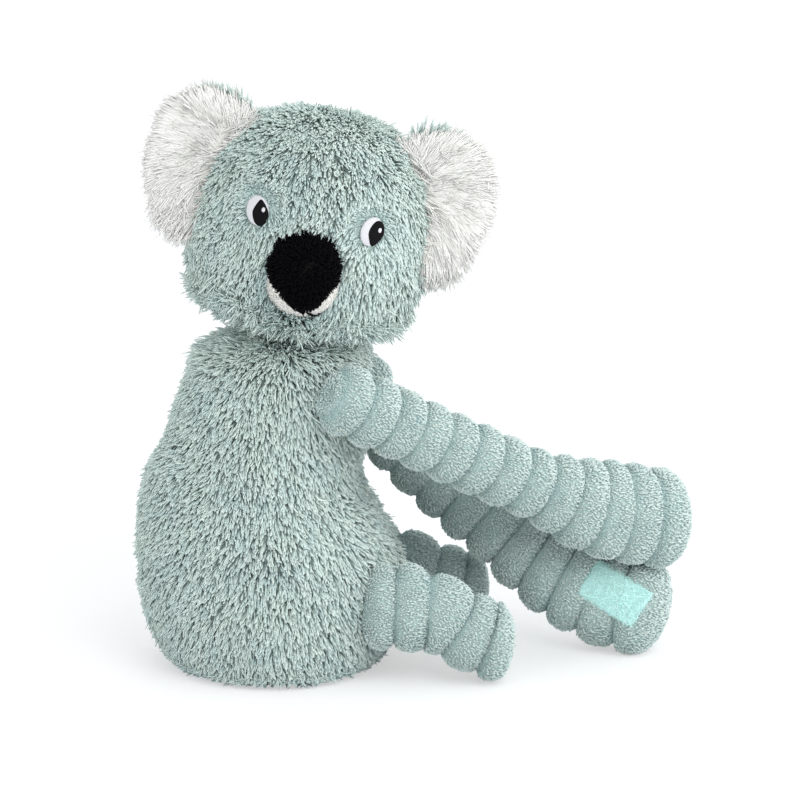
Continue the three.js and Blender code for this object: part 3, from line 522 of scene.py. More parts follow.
def pile_tree(name, sample, per_cm2, seed, floor, spacing, lie, rise, locks, lock_size, clump, cell,
              stray):
    """Nodes that stand tufts on a skin.

    A tuft points along the combing as much as lie says and off the skin as much as rise says. Locks
    lean it with its neighbours, clump draws it towards the middle of its cell, and stray is its own.
    """
    tree = bpy.data.node_groups.new(name, "GeometryNodeTree")
    tree.interface.new_socket("Geometry", in_out="INPUT", socket_type="NodeSocketGeometry")
    tree.interface.new_socket("Geometry", in_out="OUTPUT", socket_type="NodeSocketGeometry")

    def named(attribute, kind):
        return out(node(tree, "GeometryNodeInputNamedAttribute", {"Name": attribute}, data_type=kind))

    skin = node(tree, "NodeGroupInput")
    roots = node(tree, "GeometryNodeDistributePointsOnFaces", {
        "Mesh": out(skin), "Distance Min": spacing * MM, "Density Max": per_cm2 * 1e4,
        "Density Factor": named("cover", "FLOAT"), "Seed": seed,
    }, distribute_method="POISSON")
    place = out(node(tree, "GeometryNodeInputPosition"))
    wave = node(tree, "ShaderNodeTexNoise", {
        "Vector": place, "Scale": 1000 / lock_size, "Detail": 1.0,
    })
    leaning = vectors(tree, "SUBTRACT", out(wave, "Color"), (0.5, 0.5, 0.5))
    cells = node(tree, "ShaderNodeTexVoronoi", {"Vector": place, "Scale": 1000 / cell})
    inwards = vectors(tree, "SUBTRACT", out(cells, "Position"), place)
    inwards = vectors(
        tree, "SUBTRACT", inwards, vectors(tree, "PROJECT", inwards, roots.outputs["Normal"])
    )
    chance = node(tree, "FunctionNodeRandomValue", {
        "Min": (-1, -1, -1), "Max": (1, 1, 1), "Seed": seed + 1,
    }, data_type="FLOAT_VECTOR")
    groomed = vectors(
        tree, "ADD", scaled(tree, named("comb", "FLOAT_VECTOR"), lie),
        scaled(tree, roots.outputs["Normal"], rise),
    )
    uneven_way = vectors(
        tree, "ADD", scaled(tree, leaning, 2 * locks), scaled(tree, out(chance), stray)
    )
    pointing = vectors(tree, "ADD", groomed, uneven_way)
    pointing = vectors(tree, "ADD", pointing, scaled(tree, inwards, 1000 * clump / cell))
    upright = node(tree, "FunctionNodeAlignRotationToVector", {"Vector": pointing}, axis="Z")
    turned = node(tree, "FunctionNodeAlignRotationToVector", {
        "Rotation": out(upright), "Vector": roots.outputs["Normal"],
    }, axis="X", pivot_axis="Z")

    def between(low, high, step):
        return out(node(tree, "FunctionNodeRandomValue", {
            2: low, 3: high, "Seed": seed + step,
        }, data_type="FLOAT"))

    uneven = arithmetic(tree, "MULTIPLY_ADD", out(wave), 0.9, 0.55)
    own_length = arithmetic(tree, "MULTIPLY", between(*LENGTH_SPREAD, 2), named("reach", "FLOAT"))
    reach = arithmetic(tree, "MULTIPLY", uneven, own_length)
    girth = between(*GIRTH_SPREAD, 3)
    size = node(tree, "ShaderNodeCombineXYZ", {0: girth, 1: girth, 2: reach})
    stood = node(tree, "GeometryNodeInstanceOnPoints", {
        "Points": roots.outputs["Points"],
        "Instance": out(node(tree, "GeometryNodeObjectInfo", {"Object": sample}), "Geometry"),
        "Rotation": out(turned), "Scale": out(size),
    })
    cloud = node(tree, "ShaderNodeTexNoise", {
        "Vector": place, "Scale": 1000 / TINT_CLOUD_SIZE, "Detail": 2.0,
    })
    cloudy = arithmetic(tree, "MULTIPLY_ADD", out(cloud), 0.9, 0.05)
    tint = arithmetic(tree, "ADD", cloudy, between(-0.2, 0.2, 4))
    by_cell = arithmetic(tree, "MULTIPLY_ADD", out(cells, "Color"), 0.3, -0.15)
    tint = arithmetic(tree, "ADD", tint, by_cell)
    # Shade pulls a tuft's tint towards the dark end: painted shade in the seams, under the body, round limb
    # roots, under the chin and on the muzzle, and a darker tone round the eyes.
    darkening = arithmetic(tree, "MULTIPLY", named("shade", "FLOAT"), 0.6)
    tint = arithmetic(tree, "SUBTRACT", tint, darkening)
    kept = node(tree, "ShaderNodeClamp", {"Value": tint, "Min": 0.0, "Max": 1.0})
    tinted = node(tree, "GeometryNodeStoreNamedAttribute", {
        "Geometry": out(stood), "Name": "tint", "Value": out(kept),
    }, data_type="FLOAT", domain="INSTANCE")
    real = out(node(tree, "GeometryNodeRealizeInstances", {"Geometry": out(tinted)}))
    tint_column = arithmetic(tree, "MULTIPLY_ADD", named("tint", "FLOAT"), 0.94, 0.01)
    side_share = arithmetic(tree, "MULTIPLY", named("side", "FLOAT"), 0.04)
    strip = node(tree, "ShaderNodeCombineXYZ", {
        0: arithmetic(tree, "ADD", tint_column, side_share),
        1: arithmetic(tree, "MULTIPLY_ADD", named("along", "FLOAT"), 0.96, 0.02),
    })
    marked = out(node(tree, "GeometryNodeStoreNamedAttribute", {
        "Geometry": real, "Name": "OFBake", "Value": out(strip),
    }, data_type="FLOAT2", domain="CORNER"))
    for attribute in ("tint", "side", "along", "comb", "cover", "reach", "shade"):
        marked = out(node(tree, "GeometryNodeRemoveAttribute", {"Geometry": marked, "Name": attribute}))
    if floor:
        spread = node(tree, "ShaderNodeSeparateXYZ", {0: place})
        lifted = node(tree, "ShaderNodeCombineXYZ", {
            0: spread.outputs[0], 1: spread.outputs[1],
            2: arithmetic(tree, "MAXIMUM", spread.outputs[2], FLOOR_GAP * MM),
        })
        marked = out(node(tree, "GeometryNodeSetPosition", {"Geometry": marked, "Position": out(lifted)}))
    end = node(tree, "NodeGroupOutput")
    tree.links.new(marked, end.inputs[0])
    return tree


def everywhere(spot, out_way):
    return 1.0


def nowhere(spot, out_way):
    return 0.0


def combed(skin, comb, cover=everywhere, reach=everywhere, shade=nowhere):
    """Write on a skin how its pile is combed, how thick and long it is, and how much it is darkened, mostly
    as painted shade.
    """
    mesh = skin.data
    ways = []
    for v in mesh.vertices:
        way = comb(v.co / MM, v.normal)
        way = way - v.normal * way.dot(v.normal)
        ways.extend(way.normalized() if way.length > 1e-6 else Vector((0, 0, 0)))
    written = mesh.attributes.get("comb") or mesh.attributes.new("comb", "FLOAT_VECTOR", "POINT")
    written.data.foreach_set("vector", ways)
    for name, rule in (("cover", cover), ("reach", reach), ("shade", shade)):
        written = mesh.attributes.get(name) or mesh.attributes.new(name, "FLOAT", "POINT")
        written.data.foreach_set("value", [rule(v.co / MM, v.normal) for v in mesh.vertices])


TUFTS = {}
# Each coat takes the next seed, in the order in which the coats are grown.
SEEDS = iter(range(10, 4000, 17))


def grow(name, skin, kind, per_cm2, floor=False, **changes):
    """A coat of one kind of tuft on a skin, as one mesh of its own."""
    sample, settings = TUFTS[kind]
    tree = pile_tree(f"{name}_nodes", sample, per_cm2, next(SEEDS), floor, **{**settings, **changes})
    carrier = new_object(f"{name}_roots", skin.data)
    carrier.modifiers.new("pile", "NODES").node_group = tree
    graph = bpy.context.evaluated_depsgraph_get()
    mesh = bpy.data.meshes.new_from_object(
        carrier.evaluated_get(graph), preserve_all_data_layers=True, depsgraph=graph
    )
    bpy.data.objects.remove(carrier)
    mesh.name = name
    if not mesh.materials:
        mesh.materials.append(sample.data.materials[0])
    return new_object(name, mesh)


def new_tuft(kind, length, radius, bend, cuts, flat, material, **settings):
    TUFTS[kind] = (tuft(f"{kind}_tuft", length, radius, bend, cuts, flat, material), settings)


new_tuft("lock", 5.6, 0.62, 1.5, (0.9,), 0.8, TEAL_PILE, spacing=0.7,
         lie=1, rise=0.75, locks=0.7, lock_size=12, clump=0.7, cell=3.8, stray=0.12)
new_tuft("under", 4.8, 0.8, 0.8, (0.85,), 0.85, TEAL_UNDER, spacing=0.95,
         lie=0.9, rise=0.9, locks=0.6, lock_size=11, clump=0.3, cell=3.4, stray=0.25)
new_tuft("strand", 6.4, 0.34, 2.2, (0.85,), 1, TEAL_PILE, spacing=1,
         lie=1, rise=0.65, locks=0.8, lock_size=12, clump=0.8, cell=4.2, stray=0.2)
new_tuft("shag", 10, 0.42, 3, (0.4, 0.88), 0.9, TEAL_PILE, spacing=0.8,
         lie=1, rise=0.45, locks=0.8, lock_size=9, clump=0.8, cell=4, stray=0.2)
new_tuft("face", 5.7, 0.56, 1.5, (0.9,), 0.8, TEAL_PILE, spacing=0.66,
         lie=1, rise=0.72, locks=0.95, lock_size=11, clump=0.75, cell=4, stray=0.14)
new_tuft("grain", 1.8, 0.46, 0.3, (0.75,), 1, RIB_PILE, spacing=0.55,
         lie=0.9, rise=0.75, locks=0.25, lock_size=3, clump=0.35, cell=1.3, stray=0.1)
new_tuft("ear_white", 10, 0.46, 2.2, (0.4, 0.85), 0.85, WHITE_PILE, spacing=0.38,
         lie=1, rise=0.2, locks=0.55, lock_size=11, clump=0.25, cell=3.6, stray=0.08)
new_tuft("wisp", 11, 0.3, 3, (0.4, 0.85), 0.8, WHITE_PILE, spacing=1.1,
         lie=1, rise=0.34, locks=0.9, lock_size=8, clump=0.9, cell=5, stray=0.1)
new_tuft("ear_teal", 7, 0.55, 1.6, (0.82,), 0.85, TEAL_PILE, spacing=0.7,
         lie=1, rise=0.4, locks=0.6, lock_size=9, clump=0.8, cell=3.6, stray=0.2)
new_tuft("nose", 2.6, 0.36, 0.6, (0.75,), 1, NOSE_PILE, spacing=0.45,
         lie=0.7, rise=0.8, locks=0.5, lock_size=5, clump=0.4, cell=2.2, stray=0.25)
new_tuft("fleece", 1.2, 0.3, 0.3, (0.7,), 1, WHITE_PILE, spacing=0.45,
         lie=0.8, rise=0.5, locks=0.5, lock_size=3, clump=0.2, cell=2, stray=0.4)
new_tuft("loop", 0.9, 0.26, 0.2, (0.75,), 1, LOOP_PILE, spacing=0.32,
         lie=0.5, rise=0.8, locks=0.9, lock_size=2.2, clump=0.4, cell=1.4, stray=0.7)
new_tuft("hook", 1, 0.2, 0.3, (0.75,), 1, HOOK_PILE, spacing=0.5,
         lie=0.2, rise=1, locks=0.3, lock_size=3, clump=0.1, cell=2, stray=0.3)


# Torso
ARM_RUFF_START, ARM_RUFF_END, CHIN_RUFF_START, CHIN_RUFF_END = 17, 24, 138, 148


def torso_spot(turn, row):
    half_width, half_depth, height, back = TORSO_COURSE.at(row)
    if row in (0, 1):
        return Vector((0, back, height - (0 if row == 0 else SKIN_DEPTH)))
    angle = turn * math.tau
    spot = Vector((
        (half_width - SKIN_DEPTH) * math.cos(angle),
        back + (half_depth - SKIN_DEPTH) * math.sin(angle), height,
    ))
    side = Vector((math.cos(angle), math.sin(angle), 0))
    spot += side * lumps(spot, 26, 1.6) * ease(0, 20, height)
    spot.z = max(spot.z * (1 - 0.6 / TORSO_HEIGHT), 0.35)
    return spot


def torso_comb(spot, out_way):
    """Down, fanning out to the front and the back, and out over the edge of the seat."""
    way = Vector((0.12 * spot.x / TORSO_HALF_WIDTH, 0.62 * spot.y / TORSO_HALF_DEPTH, -1))
    return way + Vector((spot.x, spot.y, 0)).normalized() * 1.3 * (1 - ease(1, 15, spot.z))


def nearest_root(spot):
    """How far the nearest limb's root is, in radii of that limb."""
    return min((spot - limb.root).length / limb.radius for limb in LIMBS.values())


def torso_cover(spot, out_way):
    """Nothing grows under the seat, at the neck and where a limb's root sits."""
    bare = spot.z < 1.2 or (spot - NECK).length < NECK_BARE or nearest_root(spot) < 0.62
    return 0.0 if bare else 1.0


def ruff_comb(spot, out_way):
    """Long hair hanging under the chin and over the roots of the arms."""
    hand = "left_arm" if spot.x > 0 else "right_arm"
    towards = LIMBS[hand].root - spot
    return towards.normalized() * (1 - ease(16, 30, towards.length)) + Vector((0, 0, -1))


def ruff_cover(spot, out_way):
    root_distance = min((spot - LIMBS[arm].root).length for arm in ("left_arm", "right_arm"))
    beside = 1 - ease(ARM_RUFF_START, ARM_RUFF_END, root_distance)
    return torso_cover(spot, out_way) * max(beside, ease(CHIN_RUFF_START, CHIN_RUFF_END, spot.z))


def torso_reach(spot, out_way):
    return 0.75 + 0.25 * ease(2, 22, spot.z) + 0.35 * ease(132, 147, spot.z)


# Painted shade: the pile darkens where the torso faces down and round the roots of the limbs.
def torso_painted_shade(spot, out_way):
    under = 1 - ease(-0.9, -0.3, out_way.z)
    return max(0.6 * under, 0.4 * (1 - ease(0.95, 1.3, nearest_root(spot))))


def seat_spot(turn, row):
    """The flat panel under the seat, a little crowned where it is sewn in."""
    angle = turn * math.tau
    share = min(row / 0.6, 1) if row <= 0.6 else (1 - row) / 0.4
    low = 0.05 + 0.5 * max(share - 0.8, 0) / 0.2
    height = low if row <= 0.6 else 0.9
    return Vector((
        SEAT_PANEL_HALF_WIDTH * share * math.cos(angle),
        SEAT_BACK + SEAT_PANEL_HALF_DEPTH * share * math.sin(angle), height,
    ))


def add_torso():
    skin = rolled("torso_cloth", 96, 90, torso_spot, TEAL_CLOTH)
    combed(skin, torso_comb, torso_cover, torso_reach, torso_painted_shade)
    coats = [
        grow("torso_under_pile", skin, "under", 36, floor=True),
        grow("torso_locks_a", skin, "lock", 54, floor=True),
        grow("torso_locks_b", skin, "lock", 54, floor=True),
        grow("torso_strands", skin, "strand", 14, floor=True),
    ]
    combed(skin, ruff_comb, ruff_cover)
    coats.append(grow("torso_ruff_pile", skin, "shag", 60, rise=0.9))
    seat = rolled("seat_cloth", 64, 12, seat_spot, SEAT_CLOTH)
    dress([skin, *coats], "torso", ["torso_cover", "torso_filling", "pellet_bag"])
    dress([seat], "torso", ["seat_panel"])


# Neck
NECK_RADIUS = 13.8
NECK_SEAM_RADIUS, NECK_SEAM_THICK, NECK_SEAM_DROP = 14.8, 0.5, 2.1


def add_neck():
    def ball_spot(turn, row):
        angle, tip = turn * math.tau, row * math.pi
        return NECK + Vector((
            math.sin(tip) * math.cos(angle), math.sin(tip) * math.sin(angle), -math.cos(tip),
        )) * NECK_RADIUS

    ball = rolled("neck_ball", 40, 20, ball_spot, TEAL_CLOTH)
    combed(ball, lambda spot, way: spot - NECK - UP * 12)
    dress([grow("neck_pile", ball, "shag", 70)], "neck")
    dress([ball], "neck", ["neck_filling"])

    def ring_spot(turn, row):
        angle, round_it = turn * math.tau, row * math.tau
        radius = NECK_SEAM_RADIUS + NECK_SEAM_THICK * math.cos(round_it)
        return NECK + Vector((
            radius * math.cos(angle), radius * math.sin(angle),
            -NECK_SEAM_DROP + NECK_SEAM_THICK * math.sin(round_it),
        ))

    ring = rolled("neck_stitches", 96, 8, ring_spot, SEAM_THREAD)
    dress([ring], "neckline", ["neck_seam"])


# Head
EYE_SIDE, EYE_RISE, EYE_HALF = 25.2, 5.2, (4.9, 6.4)
PUPIL_SIDE, PUPIL_DROP, PUPIL_HALF = 1.6, 0.6, (3.5, 5.6)
GLINT_SIDE, GLINT_RISE, GLINT_HALF = 1.2, 1.6, (0.75, 1.05)
EYE_REACH = 6.8
WHORL = Vector((2, 36, 44))
FAR_OFF = 99
MUZZLE_FORWARD, MUZZLE_DROP, MUZZLE_EDGE = 35, 20.5, 0.4
MUZZLE_HALF_WIDTH, MUZZLE_HALF_DEPTH, MUZZLE_HALF_HEIGHT = 17.6, 16.6, 18.1


def head_spot(turn, row):
    width, height = HEAD_COURSE.at(row)
    angle = turn * math.tau
    share = width / HEAD_HALF_HEIGHT
    spot = Vector((share * HEAD_HALF.x * math.cos(angle), share * HEAD_HALF.y * math.sin(angle), height))
    spot *= 1 - SKIN_DEPTH / HEAD_HALF_HEIGHT
    spot *= 1 + lumps(spot, 24, 1.2) / HEAD_HALF_HEIGHT * (0 if row in (0, 1) else 1)
    return HEAD_PLACE @ spot


def face_place(spot):
    """A spot as seen from the head: x to its left, y to its back, z up, from its middle."""
    return HEAD_BACK @ spot


def head_share(spot):
    """How far out from the head's middle a spot is, 1 on its surface."""
    local = face_place(spot)
    return Vector((local.x / HEAD_HALF.x, local.y / HEAD_HALF.y, local.z / HEAD_HALF.z)).length


def eye_distance(local, hand):
    """Distance past the edge of an eye, far off behind the face, and the way from its middle."""
    middle = head_front(hand * EYE_SIDE, EYE_RISE, 0)
    away = local - middle
    scale = math.hypot(away.x / EYE_HALF[0], away.z / EYE_HALF[1])
    return (scale - 1) * EYE_REACH if local.y < 0 else FAR_OFF, away


def head_comb(spot, out_way):
    """Away from the whorl on top and from the eyes, and out under the chin."""
    local = face_place(spot)
    way = (local - WHORL).normalized() + Vector((0.25 * local.x / HEAD_HALF.x, 0, -0.35))
    for hand in (-1, 1):
        distance, away = eye_distance(local, hand)
        way += away.normalized() * 1.5 * (1 - ease(2, 14, distance))
    beneath = 1 - ease(-45, -32, local.z)
    way += Vector((local.x, local.y, 0)).normalized() * 1.5 * beneath
    return HEAD_TURN.to_3x3() @ way


def muzzle_distance(local):
    """How far a spot of the head is past the muzzle's edge, in mm."""
    away = Vector((
        local.x / (MUZZLE_HALF_WIDTH + MUZZLE_EDGE),
        (local.y + MUZZLE_FORWARD) / (MUZZLE_HALF_DEPTH + MUZZLE_EDGE),
        (local.z + MUZZLE_DROP) / (MUZZLE_HALF_HEIGHT + MUZZLE_EDGE),
    ))
    return (away.length - 1) * (MUZZLE_HALF_WIDTH + MUZZLE_EDGE)


def head_cover(spot, out_way):
    """Nothing grows under the eyes and the muzzle and at the neck."""
    local = face_place(spot)
    under_eye = min(eye_distance(local, hand)[0] for hand in (-1, 1)) < 0.2
    bare = under_eye or muzzle_distance(local) < -1 or (spot - NECK).length < NECK_BARE
    return 0.0 if bare else 1.0


def head_reach(spot, out_way):
    local = face_place(spot)
    share = 1.0
    for hand in (-1, 1):
        distance, away = eye_distance(local, hand)
        above = 1 if away.z > 0 else 0.55
        share *= 1 - (0.62 * above) * (1 - ease(2, 11, distance))
    share *= 1 - 0.35 * (1 - ease(0, 8, muzzle_distance(local)))
    behind = ease(-10, 15, local.y)
    chin = 1 - ease(-40, -20, local.z)
    crown = ease(26, 42, local.z)
    cheek = ease(14, 34, local.x) * (1 - ease(-24, -6, local.z))
    narrow = 0.2 * ease(24, 40, -local.x)
    return share * (1 + 0.25 * behind + 0.8 * chin - 0.25 * crown + 0.3 * cheek - narrow)


def chin_comb(spot, out_way):
    local = face_place(spot)
    return HEAD_TURN.to_3x3() @ Vector((local.x / 60, local.y / 60, -1))


def chin_cover(spot, out_way):
    """Hair hangs under the chin and the cheeks, all round the neck."""
    local = face_place(spot)
    if muzzle_distance(local) < 3:
        return 0.0
    return head_cover(spot, out_way) * (1 - ease(-36, -26, local.z))


# Painted shade under the chin and round the lower edge of the muzzle; the pile is also darker and bluer
# round the eyes, most above them.
def head_shade(spot, out_way):
    local = face_place(spot)
    darkening = 0.3 * (1 - ease(-44, -32, local.z))
    for hand in (-1, 1):
        distance, away = eye_distance(local, hand)
        above = ease(-3, 3, away.z)
        darkening = max(darkening, (0.25 + 0.5 * above) * (1 - ease(1, 7, distance)))
    near_muzzle = 1 - ease(0, 4, muzzle_distance(local))
    return max(darkening, 0.6 * near_muzzle * (1 - ease(-8, 2, local.z)))


def add_head():
    skin = rolled("head_cloth", 112, 84, head_spot, TEAL_CLOTH)
    combed(skin, head_comb, head_cover, head_reach, head_shade)
    coats = [
        grow("head_under_pile", skin, "under", 38),
        grow("head_locks_a", skin, "face", 64),
        grow("head_locks_b", skin, "face", 64),
        grow("head_strands", skin, "strand", 15, lock_size=8),
    ]
    combed(skin, chin_comb, chin_cover)
    coats.append(grow("head_chin_pile", skin, "shag", 40, lie=0.7, rise=0.9))
    dress([skin, *coats], "head", ["head_cover", "head_filling"])


def lens(name, middle, half, lift, crown, material, node_name, point=0, lean=0):
    """A satin-stitched oval raised on the face; point draws in its top (or its bottom, below 0)."""
    def spot_of(turn, row):
        angle = turn * math.tau
        front = row <= 0.7
        share = row / 0.7 if front else (1 - row) / 0.3
        drawn = 1 - abs(point) * max(math.copysign(math.sin(angle), math.sin(angle) * point), 0) ** 1.4
        x, z = half[0] * share * math.cos(angle) * drawn, half[1] * share * math.sin(angle)
        x, z = x * math.cos(lean) + z * math.sin(lean), z * math.cos(lean) - x * math.sin(lean)
        height = lift + crown * math.sqrt(max(1 - share**3, 0)) if front else lift - 1.2
        return HEAD_PLACE @ head_front(middle[0] + x, middle[1] + z, height)

    dress([rolled(name, 48, 20, spot_of, material)], "head", [node_name])


def add_eyes():
    for name, hand in HANDS:
        side = hand * EYE_SIDE
        pupil = (side + PUPIL_SIDE, EYE_RISE - PUPIL_DROP)
        glint = (pupil[0] + GLINT_SIDE, pupil[1] + GLINT_RISE)
        lens(f"{name}_eye_white_stitches", (side, EYE_RISE), EYE_HALF, 0.6, 0.9,
             WHITE_STITCH, f"{name}_eye_white", lean=math.radians(6 * hand))
        lens(f"{name}_eye_pupil_stitches", pupil, PUPIL_HALF, 1.3, 0.6,
             BLACK_STITCH, f"{name}_eye_pupil",
             point=-0.5 * hand, lean=math.radians(7 * hand))
        lens(f"{name}_eye_glint_stitches", glint, GLINT_HALF, 1.8, 0.4,
             WHITE_STITCH, f"{name}_eye_glint")


# Muzzle, nose, mouth
NOSE_TURN = math.radians(10)
NOSE_HALF_WIDTH, NOSE_HEIGHT, NOSE_ASIDE, NOSE_DROP = 15.8, 36, 0.6, 16
NOSE_FORWARD, NOSE_CROWN, NOSE_ROLLED_EDGE, NOSE_THICK = 36.5, 20.6, 3.2, 6
# Half width and height of the nose's outline, from its foot to its top.
NOSE_SHARES = [
    (0.24, 0.03), (0.44, 0.12), (0.69, 0.245), (0.9, 0.37), (1, 0.52), (0.957, 0.635),
    (0.875, 0.73), (0.79, 0.83), (0.69, 0.91), (0.45, 0.97), (0.15, 1),
]
NOSE_SIDE_LINE = [(w * NOSE_HALF_WIDTH, (h - 0.5) * NOSE_HEIGHT) for w, h in NOSE_SHARES]
NOSE_FOOT = (0, -NOSE_HEIGHT / 2, 0)
NOSE_EDGE = Course(
    [NOSE_FOOT, *[(x, z, 0) for x, z in NOSE_SIDE_LINE]]
    + [*[(-x, z, 0) for x, z in reversed(NOSE_SIDE_LINE)], NOSE_FOOT]
)
SMILE_ASIDE, SMILE_HALF, SMILE_DROP = 7.2, 3.6, 35.5
SMILE_CURVE, SMILE_THICK, SMILE_PROUD = 1.4, 0.6, 1.5


def muzzle_spot(turn, row):
    angle, tip = turn * math.tau, row * math.pi
    return HEAD_PLACE @ Vector((
        MUZZLE_HALF_WIDTH * math.sin(tip) * math.cos(angle),
        -MUZZLE_FORWARD - MUZZLE_HALF_DEPTH * math.cos(tip),
        -MUZZLE_DROP + MUZZLE_HALF_HEIGHT * math.sin(tip) * math.sin(angle),
    ))


def muzzle_comb(spot, out_way):
    return HEAD_TURN.to_3x3() @ Vector((face_place(spot).x, 0, -12))


def muzzle_cover(spot, out_way):
    """Fleece stands only where the nose leaves the muzzle bare."""
    local = face_place(spot)
    side, height = local.x + NOSE_ASIDE, local.z + NOSE_DROP
    across = side * math.cos(NOSE_TURN) + height * math.sin(NOSE_TURN)
    upward = height * math.cos(NOSE_TURN) - side * math.sin(NOSE_TURN)
    from_nose = math.hypot(across / NOSE_HALF_WIDTH, upward / (NOSE_HEIGHT / 2))
    return 1.0 if local.y < -38 and from_nose > 0.9 else 0.0


# Painted shade over the whole muzzle's fleece, which sits under the nose.
def muzzle_painted_shade(spot, out_way):
    return 0.9


def nose_spot(turn, row):
    edge = Matrix.Rotation(NOSE_TURN, 3, "Z") @ NOSE_EDGE.at(turn)
    front = row <= 0.8
    share = row / 0.8 if front else (1 - row) / 0.2
    x, z = edge.x * share - NOSE_ASIDE, edge.y * share - NOSE_DROP
    inside = 1 - ((x + NOSE_ASIDE) / 20) ** 2 - ((z + 17) / 21) ** 2
    depth = NOSE_FORWARD + NOSE_CROWN * math.sqrt(max(inside, 0))
    depth -= NOSE_ROLLED_EDGE * ease(0.82, 1, share) if front else NOSE_THICK
    return HEAD_PLACE @ Vector((x, -depth, z))


def nose_comb(spot, out_way):
    return HEAD_TURN.to_3x3() @ (face_place(spot) - Vector((0, -57, -13)))


def nose_cover(spot, out_way):
    return 1.0 if face_place(spot).y < -40 else 0.0


def smile_spot(turn, row):
    angle = turn * math.tau
    share = 2 * row - 1
    x = SMILE_ASIDE + SMILE_HALF * share
    z = -SMILE_DROP + SMILE_CURVE * share * share
    thick = SMILE_THICK * math.sqrt(max(1 - share**4, 0))
    inside = 1 - (x / MUZZLE_HALF_WIDTH) ** 2 - ((z + MUZZLE_DROP) / MUZZLE_HALF_HEIGHT) ** 2
    depth = MUZZLE_FORWARD + MUZZLE_HALF_DEPTH * math.sqrt(max(inside, 0)) + SMILE_PROUD
    return HEAD_PLACE @ Vector((x, -depth + thick * math.cos(angle), z + thick * math.sin(angle)))


def add_muzzle():
    muzzle = rolled("muzzle_fleece", 56, 36, muzzle_spot, MUZZLE_CLOTH)
    combed(muzzle, muzzle_comb, muzzle_cover, shade=muzzle_painted_shade)
    fleece = grow("muzzle_pile", muzzle, "fleece", 160)
    dress([muzzle, fleece], "head", ["muzzle"])
    nose = rolled("nose_cloth", 64, 24, nose_spot, NOSE_CLOTH)
    combed(nose, nose_comb, nose_cover)
    coat = grow("nose_pile", nose, "nose", 230)
    dress([nose, coat], "head", ["nose"])
    smile = rolled("mouth_stitches", 12, 24, smile_spot, BLACK_STITCH)
    dress([smile], "head", ["mouth_stitch"])


# Ears
EAR_OUT, EAR_FORWARD, EAR_RISE = 53, 4, 17.5
EAR_LEAN, EAR_TURN = 7, 12
EAR_HALF_WIDTH, EAR_HALF_HEIGHT, EAR_DISH = 27, 31.5, 5


def ear_matrix(hand):
    return (
        HEAD_PLACE
        @ Matrix.Translation((hand * EAR_OUT, -EAR_FORWARD, EAR_RISE))
        @ Matrix.Rotation(math.radians(hand * EAR_LEAN), 4, "Y")
        @ Matrix.Rotation(math.radians(-hand * EAR_TURN), 4, "Z")
    )


def add_ear(name, hand):
    """White front and teal back, sewn rim to rim; hand is 1 on the left and -1 on the right."""
    place = ear_matrix(hand)
    back_way = place.inverted()
    turn_only = place.to_3x3()

    def panel(side, reach, thick, drawn_share):
        """One panel's form: crowned, dished to the front and drawn in at its outer rim."""
        def spot_of(turn, row):
            angle = turn * math.tau
            out_part = row <= 0.7
            share = row / 0.7 if out_part else (1 - row) / 0.3
            rise = thick * math.sqrt(max(1 - share * share, 0)) if out_part else 0.2
            dish = EAR_DISH * (share * reach) ** 2
            drawn_in = 1 - drawn_share * max(hand * math.cos(angle), 0)
            return place @ Vector((
                share * reach * EAR_HALF_WIDTH * math.cos(angle) * drawn_in, -(dish + side * rise),
                share * reach * EAR_HALF_HEIGHT * math.sin(angle),
            ))
        return spot_of

    def fan_to(over_rim):
        """Out from the seam, hanging lower down, and swept back over the rim."""
        def fan(spot, out_way):
            local = back_way @ spot
            rim = ease(0.65, 0.9, math.hypot(local.x / EAR_HALF_WIDTH, local.z / EAR_HALF_HEIGHT))
            way = Vector((local.x + hand * 16, -4 + over_rim * rim, local.z + 6)).normalized()
            return turn_only @ (way + Vector((0, 0, -0.3 - 0.7 * ease(-6, 16, -local.z))))
        return fan

    def over_head(spot, out_way):
        return turn_only @ Vector((-hand, -0.3, 0.25))

    def facing(side):
        """Fur stands on the panel's outer face, outside the head."""
        def cover(spot, out_way):
            turned = (turn_only.transposed() @ out_way).y * side
            return 1.0 if head_share(spot) > 0.95 and turned < 0.35 else 0.0
        return cover

    def near_head(spot, out_way):
        return facing(1)(spot, out_way) * (1 - ease(1.05, 1.2, head_share(spot)))

    def longer_below(spot, out_way):
        local = back_way @ spot
        outer = ease(6, 24, hand * local.x) * (1 - ease(12, 26, -local.z))
        return 0.82 + 0.5 * ease(6, 26, -local.z) - 0.3 * outer

    def longer_above(spot, out_way):
        local = back_way @ spot
        return 0.3 + 0.9 * ease(-12, 10, -hand * local.x) * ease(4, 22, local.z)

    front = rolled(f"{name}_ear_front_cloth", 56, 30, panel(1, 0.93, 5.6, 0.03), WHITE_CLOTH)
    back = rolled(f"{name}_ear_back_cloth", 56, 30, panel(-1, 1, 5.2, 0.1), TEAL_CLOTH)
    combed(front, fan_to(22), facing(1), longer_below)
    combed(back, fan_to(0), facing(-1), longer_above)
    white = [front, grow(f"{name}_ear_white_pile", front, "ear_white", 420)]
    teal = [back, grow(f"{name}_ear_teal_pile", back, "ear_teal", 95)]
    white.append(grow(f"{name}_ear_wisps", front, "wisp", 45))
    combed(front, over_head, near_head)
    white.append(grow(f"{name}_ear_base_pile", front, "wisp", 170, rise=0.45, spacing=0.6))
    dress(white, f"{name}_ear", [f"{name}_ear_front"])
    dress(teal, f"{name}_ear", [f"{name}_ear_back"])


# Limbs
LEG_ROOT_FULLNESS, GRAIN_PER_CM2 = 5.5, 108
SEAM_REACH, SEAM_INSIDE, SEAM_OUTSIDE = math.radians(28), 0.45, 1.25


